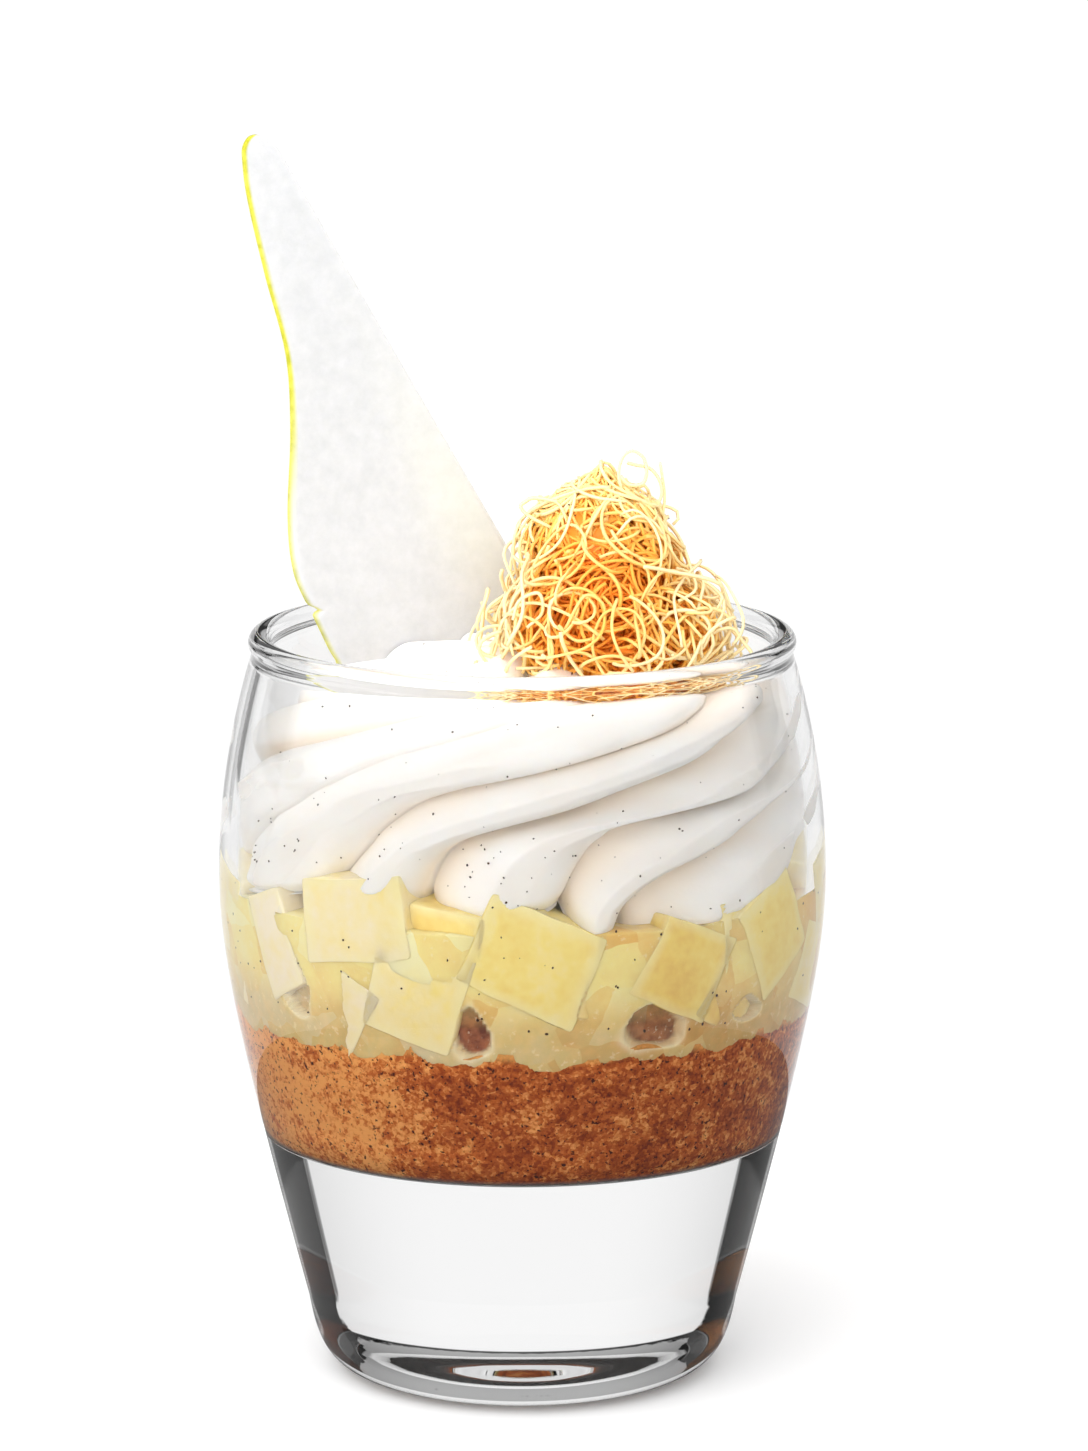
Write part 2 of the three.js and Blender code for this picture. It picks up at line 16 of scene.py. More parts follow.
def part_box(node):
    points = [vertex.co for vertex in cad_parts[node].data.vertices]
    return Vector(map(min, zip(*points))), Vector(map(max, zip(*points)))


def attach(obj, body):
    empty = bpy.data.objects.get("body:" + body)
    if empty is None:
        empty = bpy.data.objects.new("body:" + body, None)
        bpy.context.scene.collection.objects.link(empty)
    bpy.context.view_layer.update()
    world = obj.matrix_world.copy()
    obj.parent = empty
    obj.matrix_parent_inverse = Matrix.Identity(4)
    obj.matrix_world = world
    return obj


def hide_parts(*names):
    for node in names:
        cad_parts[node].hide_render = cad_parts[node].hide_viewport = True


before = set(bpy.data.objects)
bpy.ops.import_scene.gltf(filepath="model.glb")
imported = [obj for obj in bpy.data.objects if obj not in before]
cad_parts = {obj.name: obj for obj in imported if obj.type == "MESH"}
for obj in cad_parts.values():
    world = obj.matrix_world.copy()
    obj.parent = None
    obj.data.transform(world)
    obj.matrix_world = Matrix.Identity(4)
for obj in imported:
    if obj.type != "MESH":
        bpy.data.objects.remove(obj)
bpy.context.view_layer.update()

MM = 0.001
BODY = "root"

# ---- shared sizes, in millimetres ----
GLASS_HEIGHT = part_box("glass")[1][2] / MM
BELLY_RADIUS = 40.0
BELLY_HEIGHT = 66.5
MOUTH_CURVE = 0.00517  # how fast the wall draws in above the belly
FOOT_SLOPE = 0.27  # how fast it draws in below, once FOOT_BEND below the belly
FOOT_BEND = 17.2
FOOT_TOP = 9.5  # where the foot's rounding meets the wall
FOOT_CURVE = ((26.5, 0.0), (27.6, 4.2))
REST_RADIUS = 20.5  # the ring that the glass stands on
REST_INNER = 17.5
DIMPLE = 1.4  # the height of the hollow inside that ring
DIMPLE_CURVE = (11.0, 15.4)
BEAD_RADIUS = 1.45  # of the rolled rim
BEAD_CENTRE = 34.45
BEAD_ARC = (-25, 205)
WALL_TOP = 2.0
WALL_FLOOR = 3.9
WALL_THINNING = 3.2  # how fast it thins above the floor
FLOOR_HEIGHT = 32.2
FLOOR_CORNER = 5.0
INTO_WALL = 0.12  # how far what fills the glass reaches into its wall
DICE_INTO_WALL = 0.09  # a little less, so that the cream lies over the dice
JUICE_INTO_WALL = 0.05

BISCUIT_TOP = 50.7
PEAR_TOP = 68.0

SLICE_FOOT = (-27.0, 9.0)
SLICE_YAW = 12.0
SLICE_LOW = 84.5
SLICE_HIGH = 163.1

NEST_CENTRE = (10.5, -2.2)
NEST_BOTTOM = 93.0
NEST_TOP = 121.5


# ---- small helpers ----
def lerp(a, b, share):
    return a + (b - a) * share


def clamp(value, low=0.0, high=1.0):
    return min(high, max(low, value))


def smoothstep(value, low, high):
    share = clamp((value - low) / (high - low))
    return share * share * (3 - 2 * share)


def through(places, values, at):
    """A smooth curve through values given at rising places, straight beyond them."""
    last = len(places) - 1

    def slope(k):
        a, b = max(0, k - 1), min(last, k + 1)
        return (values[b] - values[a]) / (places[b] - places[a])

    if at <= places[0]:
        return values[0] + (at - places[0]) * slope(0)
    if at >= places[last]:
        return values[last] + (at - places[last]) * slope(last)
    index = max(k for k in range(last) if places[k] <= at)
    span = places[index + 1] - places[index]
    s = (at - places[index]) / span
    return (
        (2 * s ** 3 - 3 * s ** 2 + 1) * values[index]
        + (s ** 3 - 2 * s ** 2 + s) * span * slope(index)
        + (3 * s ** 2 - 2 * s ** 3) * values[index + 1]
        + (s ** 3 - s ** 2) * span * slope(index + 1)
    )


def polar(radius, angle, height):
    """A point at an angle from the front, in degrees."""
    turn = math.radians(angle - 90)
    return (radius * math.cos(turn), radius * math.sin(turn), height)


def rgb(red, green, blue):
    """A colour given in screen values of 0 to 255, as the shaders read it."""
    def channel(value):
        value /= 255
        return value / 12.92 if value <= 0.04045 else ((value + 0.055) / 1.055) ** 2.4
    return (channel(red), channel(green), channel(blue), 1.0)


def wrap_faces(rows, columns):
    """Faces of a body wrapped round an axis: rings of points, with a pole first and a pole last."""
    faces = []
    for column in range(columns):
        after = (column + 1) % columns
        faces.append((0, 1 + after, 1 + column))
        for row in range(rows - 1):
            low = 1 + row * columns
            high = low + columns
            faces.append((low + column, low + after, high + after, high + column))
        last = 1 + (rows - 1) * columns
        faces.append((last + column, last + after, 1 + rows * columns))
    return faces


def make_piece(name, points, faces, material, attributes=None):
    """One mesh object from points in millimetres, riding on the body."""
    mesh = bpy.data.meshes.new(name)
    mesh.from_pydata((np.asarray(points, dtype=float) * MM).tolist(), [], faces)
    for label, values in (attributes or {}).items():
        layer = mesh.attributes.new(label, "FLOAT", "POINT")
        layer.data.foreach_set("value", np.asarray(values, dtype=np.float32))
    mesh.materials.append(material)
    mesh.polygons.foreach_set("use_smooth", [True] * len(mesh.polygons))
    mesh.update()
    piece = bpy.data.objects.new(name, mesh)
    bpy.context.scene.collection.objects.link(piece)
    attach(piece, BODY)
    return piece


def wrap_points(rows, columns, place):
    """Its points, each where place(turn, share) puts it, with both from 0 to 1."""
    points = [place(0.0, 0.0)]
    for row in range(1, rows + 1):
        points += [place(column / columns, row / (rows + 1)) for column in range(columns)]
    return points + [place(0.0, 1.0)]


def wrapped_piece(name, rows, columns, place, material, attributes=None):
    """A body wrapped round the glass's axis."""
    points = wrap_points(rows, columns, place)
    return make_piece(name, points, wrap_faces(rows, columns), material, attributes)


def tube_points(path, radius, sides):
    """Rings of points round a path, turned so that the tube never twists."""
    path = np.array(path)
    ahead = np.gradient(path, axis=0)
    ahead /= np.linalg.norm(ahead, axis=1)[:, None]
    side = np.cross(ahead[0], (0.3, 0.5, 0.8))
    rings = []
    for point, direction in zip(path, ahead):
        side = side - direction * np.dot(side, direction)
        side /= np.linalg.norm(side)
        other = np.cross(direction, side)
        for k in range(sides):
            a = 2 * math.pi * k / sides
            rings.append(point + radius * (math.cos(a) * side + math.sin(a) * other))
    return rings


def tube_faces(count, sides, first):
    """Faces round that many rings of points, with both ends closed."""
    faces = []
    for row in range(count - 1):
        for k in range(sides):
            after = (k + 1) % sides
            low = first + row * sides
            faces.append((low + k, low + after, low + sides + after, low + sides + k))
    faces.append(tuple(first + k for k in reversed(range(sides))))
    faces.append(tuple(first + (count - 1) * sides + k for k in range(sides)))
    return faces


# ---- the glass's outline ----
def outer_radius(z):
    if z > BELLY_HEIGHT:
        return BELLY_RADIUS - MOUTH_CURVE * (z - BELLY_HEIGHT) ** 2
    return BELLY_RADIUS - FOOT_SLOPE * (math.hypot(BELLY_HEIGHT - z, FOOT_BEND) - FOOT_BEND)


def inner_radius(z):
    share = (z - FLOOR_HEIGHT) / (GLASS_HEIGHT - FLOOR_HEIGHT)
    thinned = 1 - math.exp(-WALL_THINNING * max(0.0, share))
    return outer_radius(z) - lerp(WALL_FLOOR, WALL_TOP, thinned)


def cavity_outline(top, inset, steps):
    """(radius, height) up the cavity from the middle of its floor."""
    corner_top = FLOOR_HEIGHT + FLOOR_CORNER
    flat = inner_radius(corner_top) - FLOOR_CORNER
    reach = FLOOR_CORNER - inset
    outline = [(flat * k / 8, FLOOR_HEIGHT + inset) for k in range(8)]
    for k in range(17):
        a = math.radians(90 * k / 16)
        outline.append((flat + reach * math.sin(a), corner_top - reach * math.cos(a)))
    for k in range(1, steps + 1):
        z = lerp(corner_top, top, k / steps)
        outline.append((inner_radius(z) - inset, z))
    return outline


def bezier(points, steps):
    """Points along a cubic curve, without its first one."""
    a, b, c, d = (np.array(p, dtype=float) for p in points)
    line = []
    for k in range(1, steps + 1):
        t = k / steps
        u = 1 - t
        line.append(tuple(u ** 3 * a + 3 * t * u ** 2 * b + 3 * t * t * u * c + t ** 3 * d))
    return line


def glass_outline():
    """(radius, height) from the middle of the foot's hollow round to the middle of the floor."""
    outline = [(0.0, DIMPLE)]
    hollow = [(radius, DIMPLE) for radius in (0, *DIMPLE_CURVE)]
    outline += bezier([*hollow, (REST_INNER, 0)], 16)
    outline.append((REST_RADIUS, 0.0))
    outline += bezier([(REST_RADIUS, 0), *FOOT_CURVE, (outer_radius(FOOT_TOP), FOOT_TOP)], 20)
    bead_height = GLASS_HEIGHT - BEAD_RADIUS
    wall_top = bead_height - BEAD_RADIUS * 0.75
    for k in range(1, 61):
        z = lerp(FOOT_TOP, wall_top, k / 60)
        outline.append((outer_radius(z), z))
    for k in range(19):
        a = math.radians(lerp(*BEAD_ARC, k / 18))
        out, up = BEAD_RADIUS * math.cos(a), BEAD_RADIUS * math.sin(a)
        outline.append((BEAD_CENTRE + out, bead_height + up))
    outline += reversed(cavity_outline(bead_height - BEAD_RADIUS, 0.0, 60)[1:])
    outline.append((0.0, FLOOR_HEIGHT))
    return outline


# ---- materials ----
class Nodes:
    """Short ways to build the nodes of one tree."""

    def __init__(self, tree):
        self.tree = tree

    def node(self, kind, settings=None, **inputs):
        made = self.tree.nodes.new(kind)
        for label, value in (settings or {}).items():
            setattr(made, label, value)
        for label, value in inputs.items():
            self.join(value, made.inputs[label.replace("_", " ")])
        return made

    def join(self, value, socket):
        if isinstance(value, bpy.types.NodeSocket):
            self.tree.links.new(value, socket)
        else:
            socket.default_value = value

    def math(self, operation, *values):
        made = self.node("ShaderNodeMath", {"operation": operation})
        for value, socket in zip(values, made.inputs):
            self.join(value, socket)
        return made.outputs[0]

    plus = partialmethod(math, "ADD")
    minus = partialmethod(math, "SUBTRACT")
    times = partialmethod(math, "MULTIPLY")

    def total(self, *parts):
        """The sum of (value, weight) parts."""
        made = 0.0
        for value, weight in parts:
            made = self.plus(made, self.times(value, weight))
        return made

    def range(self, value, low, high, to_low=0.0, to_high=1.0):
        """A value that goes smoothly from to_low, below low, to to_high, above high."""
        made = self.node(
            "ShaderNodeMapRange", {"interpolation_type": "SMOOTHSTEP"}, Value=value,
            From_Min=low, From_Max=high, To_Min=to_low, To_Max=to_high,
        )
        return made.outputs["Result"]


class Look(Nodes):
    """A principled material and its nodes, with sizes in millimetres."""

    def __init__(self, name, **sockets):
        self.material = bpy.data.materials.new(name)
        self.material.use_nodes = True
        super().__init__(self.material.node_tree)
        self.shader = self.tree.nodes["Principled BSDF"]
        for label, value in sockets.items():
            self.shader.inputs[label.replace("_", " ")].default_value = value

    def place(self):
        return self.node("ShaderNodeTexCoord").outputs["Object"]

    def across(self, low, high, to_low, to_high):
        """A value that changes from left to right between two places."""
        side = self.node("ShaderNodeSeparateXYZ", Vector=self.place()).outputs["X"]
        return self.range(side, low * MM, high * MM, to_low, to_high)

    def noise(self, size, detail=4.0, roughness=0.55):
        """Noise whose features are about size wide."""
        made = self.node(
            "ShaderNodeTexNoise", Vector=self.place(), Scale=1 / (size * MM), Detail=detail,
            Roughness=roughness,
        )
        return made.outputs["Fac"]

    def cells(self, size, warp):
        """A random value for each grain about size wide, its edges bent by up to warp."""
        place, scale = self.place(), 1 / (size * MM)
        bend = self.node("ShaderNodeTexNoise", Vector=place, Scale=scale, Detail=2.0)
        moved = self.node("ShaderNodeVectorMath", {"operation": "MULTIPLY_ADD"})
        for value, socket in zip((bend.outputs["Color"], [warp * MM] * 3, place), moved.inputs):
            self.join(value, socket)
        made = self.node("ShaderNodeTexVoronoi", Vector=moved.outputs[0], Scale=scale)
        return self.node("ShaderNodeSeparateColor", Color=made.outputs["Color"]).outputs[0]

    def attribute(self, name):
        return self.node("ShaderNodeAttribute", {"attribute_name": name}).outputs["Fac"]

    def ramp(self, factor, stops):
        """A colour ramp of (position, colour) stops."""
        made = self.node("ShaderNodeValToRGB", Fac=factor)
        elements = made.color_ramp.elements
        while len(elements) < len(stops):
            elements.new(0.5)
        for element, (position, colour) in zip(elements, stops):
            element.position = position
            element.color = colour
        return made.outputs["Color"]

    def mix(self, factor, first, second):
        made = self.node("ShaderNodeMix", {"data_type": "RGBA"})
        self.join(factor, made.inputs[0])
        self.join(first, made.inputs[6])
        self.join(second, made.inputs[7])
        return made.outputs[2]

    def scatter(self, weight, *radii):
        """Light that spreads under the surface, with a radius for red, green and blue."""
        sockets = self.shader.inputs
        sockets["Subsurface Weight"].default_value = weight
        sockets["Subsurface Radius"].default_value = [radius * MM for radius in radii]
        sockets["Subsurface Scale"].default_value = 1.0

    def bump(self, height, depth):
        made = self.node("ShaderNodeBump", Height=height, Distance=depth * MM, Strength=1.0)
        self.join(made.outputs["Normal"], self.shader.inputs["Normal"])

    def colour(self, value):
        self.join(value, self.shader.inputs["Base Color"])


def glass_material():
    look = Look("clear_glass", Roughness=0.0, IOR=1.5, Transmission_Weight=1.0)
    look.colour((1.0, 1.0, 1.0, 1.0))
    # The faint unevenness of pressed glass.
    look.bump(look.noise(14, detail=1.0), 0.02)
    return look.material


def biscuit_material():
    look = Look("baked_crumb", Roughness=0.7, IOR=1.45, Specular_IOR_Level=0.05)
    # Grains, clouds and wide patches, and all of it paler towards the left, which is painted light
    # falling from the left.
    tone = look.total(
        (look.cells(0.4, warp=0.3), 0.16),
        (look.cells(1.1, warp=0.7), 0.12),
        (look.noise(1.7, detail=8.0, roughness=0.8), 0.46),
        (look.noise(8.0, detail=2.0), 0.30),
        # painted light: paler on the left
        (look.across(-28, -4, 0.15, 0.0), 1.0),
    )
    base = look.ramp(tone, [
        (0.35, rgb(108, 40, 10)),
        (0.46, rgb(156, 70, 22)),
        (0.57, rgb(198, 106, 46)),
        (0.68, rgb(240, 168, 94)),
    ])
    spots = look.range(look.noise(0.6, detail=2.0, roughness=0.5), 0.62, 0.67)
    base = look.mix(spots, base, rgb(66, 24, 8))
    # Painted highlight along the crumb's top edge where it meets the wall.
    rim = look.range(look.attribute("rim"), 0.55, 0.95, 0.0, 0.6)
    base = look.mix(rim, base, rgb(240, 184, 106))
    # Painted shade: the underside, and higher up at the back corner, is grey where it lies in shade
    # on the glass's floor.
    look.colour(look.mix(look.attribute("under"), base, rgb(120, 118, 116)))
    look.scatter(0.1, 0.6, 0.5, 0.4)
    look.bump(look.noise(0.5, detail=4.0, roughness=0.7), 0.12)
    return look.material


def cream_material():
    look = Look("vanilla_cream", Roughness=0.42, IOR=1.42, Specular_IOR_Level=0.35)
    soft = look.noise(9.0, detail=2.0)
    base = look.ramp(soft, [(0.35, rgb(247, 242, 236)), (0.7, rgb(249, 247, 244))])
    # Painted shade: the furrows are tinted warm beige, where shade falls between the ridges.
    hollow = look.times(look.attribute("hollow"), 0.5)
    look.colour(look.mix(hollow, base, rgb(250, 230, 206)))
    look.scatter(0.3, 1.2, 1.0, 0.8)
    look.bump(look.noise(0.8, detail=3.0, roughness=0.6), 0.03)
    return look.material


def pear_material():
    look = Look("diced_pear", Roughness=0.22, IOR=1.38)
    cloud = look.total((look.noise(6.0, detail=3.0), 1.0), (look.noise(1.5), 0.5))
    cloud = look.times(look.minus(cloud, 0.75), 0.7)  # about zero
    flesh = look.ramp(look.plus(look.attribute("tint"), cloud), [
        (0.0, rgb(254, 240, 216)),
        (0.3, rgb(253, 236, 186)),
        (0.6, rgb(252, 230, 146)),
        (0.8, rgb(248, 220, 132)),
        (1.0, rgb(240, 204, 122)),
    ])
    # Painted glow: paler edges on each die, standing in for light shining through them.
    rim = look.times(look.attribute("rim"), 0.5)
    look.colour(look.mix(rim, flesh, rgb(255, 244, 196)))
    look.scatter(0.3, 0.6, 0.6, 0.6)
    look.bump(look.noise(0.7, detail=3.0), 0.04)
    return look.material


def pulp_material():
    look = Look("pear_juice", Roughness=0.1, IOR=1.36)
    # Pieces of pear show dimly through the juice, more amber towards the right.
    deeper = look.total(
        (look.cells(6.5, warp=3.0), 0.4),
        (look.noise(4.0), 0.5),
        (look.across(-30, 30, -0.1, 0.2), 1.0),
    )
    juice = look.ramp(deeper, [
        (0.2, rgb(255, 244, 196)),
        (0.45, rgb(254, 234, 162)),
        (0.8, rgb(238, 196, 120)),
    ])
    # Crumb colour where the crumb shows in the air pockets, and painted shade low down.
    crumb = look.ramp(look.noise(1.4), [(0.4, rgb(110, 54, 30)), (0.65, rgb(168, 100, 62))])
    juice = look.mix(look.attribute("crumb"), juice, crumb)
    # Painted highlights: small pale glints on the juice.
    juice_glints = look.range(look.noise(0.9, detail=2.0), 0.62, 0.7, 0.0, 0.4)
    juice = look.mix(juice_glints, juice, rgb(255, 240, 200))
    # Painted highlight: a pale ring round each air pocket, along the juice's edge.
    ring = look.times(look.attribute("ring"), 0.5)
    look.colour(look.mix(ring, juice, rgb(255, 244, 214)))
    look.scatter(0.6, 1.8, 1.8, 1.8)
    return look.material


def slice_material():
    look = Look("pear_slice", Roughness=0.4, IOR=1.4)
    flesh = look.ramp(look.noise(2.2, detail=5.0, roughness=0.7), [
        (0.3, rgb(195, 196, 198)),
        (0.7, rgb(206, 206, 208)),
    ])
    core = look.times(look.attribute("core"), 0.2)
    flesh = look.mix(core, flesh, rgb(238, 236, 206))
    skin_tone = look.ramp(look.noise(1.6, detail=3.0), [
        (0.35, rgb(170, 168, 34)),
        (0.65, rgb(208, 202, 78)),
    ])
    look.colour(look.mix(look.attribute("skin"), flesh, skin_tone))
    look.scatter(0.8, 3.0, 3.0, 2.6)
    look.bump(look.noise(0.5, detail=4.0, roughness=0.7), 0.05)
    return look.material


def thread_material():
    look = Look("pastry_threads", Roughness=0.4, IOR=1.45, Specular_IOR_Level=0.35)
    wobble = look.times(look.minus(look.noise(5.0, detail=2.0), 0.5), 0.25)
    # Pale outside and deep orange further in: painted light on the outer threads, painted shade
    # between the threads further in, and a painted glow in the orange heart.
    look.colour(look.ramp(look.plus(look.attribute("depth"), wobble), [
        (0.0, rgb(255, 232, 180)),
        (0.25, rgb(255, 220, 144)),
        (0.55, rgb(255, 190, 84)),
        (1.0, rgb(250, 148, 42)),
    ]))
    look.scatter(0.25, 0.3, 0.3, 0.3)
    look.bump(look.noise(0.4, detail=2.0), 0.03)
    return look.material


def seed_material():
    look = Look("vanilla_seeds", Roughness=0.5)
    look.colour(look.ramp(look.noise(1.0), [(0.3, rgb(30, 20, 14)), (0.7, rgb(84, 52, 30))]))
    return look.material


# ---- glass ----
GLASS_COLUMNS = 192


def build_glass():
    outline = glass_outline()
    last = len(outline) - 1

    def place(turn, share):
        radius, height = outline[round(share * last)]
        return polar(radius, 360 * turn, height)

    glass = wrapped_piece("glass_body", last - 1, GLASS_COLUMNS, place, glass_material())
    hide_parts("glass")


# ---- biscuit crumb ----
FLOOR_GAP = 0.3  # under its flat
BISCUIT_SIDE = 0.5  # the share of its rows that go under it and up its side
BISCUIT_GRID = (200, 380)  # rows and columns


def biscuit_height(x, y):
    waves = (
        math.sin(0.19 * x + 1.1) * math.cos(0.23 * y - 0.4)
        + 0.6 * math.sin(0.41 * x - 0.37 * y + 2)
        + 0.35 * math.cos(0.66 * x + 0.5 * y)
    )
    return BISCUIT_TOP + 0.9 * waves


def crumb_relief(point):
    """Lumps and pits of packed crumb, in millimetres, about zero."""
    coarse = noise.noise(Vector(point) / 3.1)
    fine = noise.noise(Vector(point) / 1.3 + Vector((7, 3, 1)))
    return 0.6 * coarse + 0.45 * fine


def build_biscuit():
    side = cavity_outline(BISCUIT_TOP - 3, -INTO_WALL, 24)
    last = len(side) - 1
    shaded_undersides, edge_highlights = [], []

    def place(turn, share):
        angle = 360 * turn
        if share <= BISCUIT_SIDE:
            position = share / BISCUIT_SIDE * last
            index = min(int(position), last - 1)
            below, above = side[index], side[index + 1]
            radius, height = (lerp(below[i], above[i], position - index) for i in (0, 1))
            flat = 1 - smoothstep(height, FLOOR_HEIGHT, FLOOR_HEIGHT + 0.5)
            # Painted shade: how far up the grey underside reaches, further at the back.
            behind = smoothstep(abs((angle + 180) % 360 - 180), 105, 140)
            up = height - FLOOR_HEIGHT
            shaded_undersides.append(1 - smoothstep(up, 0.3, 1.2 + 5.5 * behind))
            edge_highlights.append(0.0)
            return polar(radius, angle, height + flat * (FLOOR_GAP + INTO_WALL))
        shaded_undersides.append(0.0)
        out = math.sqrt(max(0.0, 1 - (share - BISCUIT_SIDE) / (1 - BISCUIT_SIDE)))
        x, y, _ = polar(inner_radius(BISCUIT_TOP), angle, 0)
        wall = inner_radius(biscuit_height(x, y)) + INTO_WALL
        x, y, _ = polar(out * wall, angle, 0)
        # How much painted highlight the top edge gets, near the wall.
        edge_highlights.append(smoothstep(out, 0.9, 0.97))
        relief = 0.8 - 0.45 * smoothstep(out, 0.85, 0.97)
        return (x, y, biscuit_height(x, y) + relief * crumb_relief((x, y, BISCUIT_TOP)))

    attributes = {"under": shaded_undersides, "rim": edge_highlights}
    piece = wrapped_piece(
        "biscuit_crumb_body", *BISCUIT_GRID, place, biscuit_material(), attributes
    )
    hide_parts("biscuit_crumb")


# ---- cream ----
CREAM_TOP = 97.5
CREAM_SHOULDER = 86.0
CREAM_TILT = 5.0
CREAM_BOTTOM = 69.5
CREAM_LOW = 66.0
CREAM_TIP_ROUND = 2.2
CREAM_SWELL = 0.5  # how much wider than the cavity its ridges are before the wall stops them
GROOVE = 6.6
RIDGE_LEAN = 1.5
RIDGE_CREST = 0.55
RIPPLE = 0.4  # the two faint hollows along each ridge
DOME_CLIMB = 26.0
EDGE_SHARE = 0.15
SHOULDER_SHARE = 0.6
# Each furrow of the swirl: its angles at the heights of FURROW_HEIGHTS, its depth as a share of
# GROOVE, and the ridge after it: how far it hangs down below CREAM_BOTTOM, and where along it.
FURROW_HEIGHTS = (66, 70, 73, 76, 78, 80, 82, 84, 87, 90, 94)
FURROWS = (
    ((-88, -80, -74, -66, -60, -54, -48.5, -43, -36, -28, -14), 0.4, 2.4, 0.3),
    ((-50, -44, -40, -35, -32, -28, -23, -14, 4, 18, 34), 0.75, 0.0, 0.5),
    ((-23, -21.3, -19.8, -16.4, -11, 0, 13, 25, 44, 56, 68), 1.0, 2.2, 0.2),
    ((6.4, 8.5, 10.8, 14, 17.6, 26, 60, 72, 84, 94, 110), 1.0, 5.3, 0.84),
    ((19.2, 22.5, 31, 48, 58, 70, 79, 87, 98, 110, 126), 1.0, 6.0, 0.12),
    ((58, 70, 79, 87, 93, 99, 106, 114, 124, 136, 152), 0.8, 2.6, 0.4),
    ((98, 106, 113, 121, 127, 134, 141, 148, 159, 171, 186), 0.9, 4.0, 0.5),
    ((142, 150, 157, 165, 171, 178, 185, 192, 204, 216, 232), 1.0, 4.6, 0.4),
    ((188, 195, 202, 210, 216, 223, 230, 237, 248, 260, 275), 0.8, 3.4, 0.6),
    ((232, 239, 246, 254, 260, 266, 273, 279, 290, 302, 316), 0.9, 3.0, 0.5),
)
RIDGES = len(FURROWS)
CREAM_GRID = (199, 36 * RIDGES)


def furrow_angle(index, height):
    turns, own = divmod(index, RIDGES)
    return 360 * turns + through(FURROW_HEIGHTS, FURROWS[own][0], height)


def ridge_angle(turn, height):
    """The angle of a place that is counted in ridges round the swirl."""
    before = math.floor(turn)
    return lerp(furrow_angle(before, height), furrow_angle(before + 1, height), turn - before)


def furrow_depth(index, height):
    """How deep a furrow is: less where it runs close to the next."""
    here = furrow_angle(index, height)
    room = min(here - furrow_angle(index - 1, height), furrow_angle(index + 1, height) - here)
    return GROOVE * FURROWS[index % RIDGES][1] * smoothstep(room, 1, 10)


def ridge_depth(turn, height):
    """How far the surface lies below a full ridge's crest, which leans over the next furrow."""
    before = math.floor(turn)
    share = turn - before
    crest = math.sin(math.pi * share ** RIDGE_LEAN) ** RIDGE_CREST
    full = lerp(furrow_depth(before, height), furrow_depth(before + 1, height), share)
    return full * (1 - crest) + RIPPLE * min(1.0, full / 3) * math.sin(2 * math.pi * share) ** 2


def ridge_hang(turn):
    """How far the swirl's lower edge hangs down."""
    before = math.floor(turn)
    share = turn - before
    _, _, hang, lowest = FURROWS[before % RIDGES]
    bump = share / lowest if share < lowest else (1 - share) / (1 - lowest)
    return hang * bump * (2 - bump)


def cream_point(turn, share):
    side = (share - EDGE_SHARE) / (SHOULDER_SHARE - EDGE_SHARE)
    dome = max(0.0, (share - SHOULDER_SHARE) / (1 - SHOULDER_SHARE))
    low = CREAM_BOTTOM - ridge_hang(turn)
    up = math.sin(dome * math.pi / 2)
    angle = ridge_angle(turn, CREAM_LOW)
    for _ in range(3):
        shoulder = CREAM_SHOULDER + CREAM_TILT * math.sin(math.radians(angle))
        height = shoulder + DOME_CLIMB * dome if dome else lerp(low, shoulder, max(0.0, side))
        angle = ridge_angle(turn, height)
    depth = ridge_depth(turn, height)
    if side <= 0:
        reach = math.sqrt(share / EDGE_SHARE)
        radius = reach * (inner_radius(CREAM_BOTTOM) - 0.3 - depth)
        return polar(radius, angle, lerp(CREAM_BOTTOM, low, reach ** 6))
    if not dome:
        rounding = CREAM_TIP_ROUND * max(0.0, 1 - side / 0.16) ** 2
        return press(polar(inner_radius(height) + CREAM_SWELL - rounding - depth, angle, height))
    across = math.cos(dome * math.pi / 2)
    depth *= smoothstep(across, 0.05, 0.5)
    radius = across * (inner_radius(shoulder) + CREAM_SWELL) - depth * (1 - up)
    return press(polar(max(0.0, radius), angle, lerp(shoulder, CREAM_TOP, up) - depth * up))


def press(point, into=INTO_WALL):
    """A point of what fills the glass, kept from going further than just into its wall."""
    radius = math.hypot(point[0], point[1])
    limit = inner_radius(point[2]) + into
    if radius <= limit:
        return point
    return (point[0] * limit / radius, point[1] * limit / radius, point[2])


def build_cream():
    hollows = []

    def place(turn, share):
        point = cream_point(RIDGES * turn, share)
        # How deep the place lies in a furrow, for the painted shade there.
        hollows.append(smoothstep(ridge_depth(RIDGES * turn, point[2]), 1.6, 5.2))
        soft = 0.5 * noise.noise(Vector(point) / 7) + 0.16 * noise.noise(Vector(point) / 2.4)
        radius = math.hypot(point[0], point[1])
        if radius < 1:
            return point
        scale = 1 + soft / radius
        return press((point[0] * scale, point[1] * scale, point[2]))

    attributes = {"hollow": hollows}
    piece = wrapped_piece(
        "vanilla_cream_swirl", *CREAM_GRID, place, cream_material(), attributes
    )
    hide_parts("vanilla_cream")


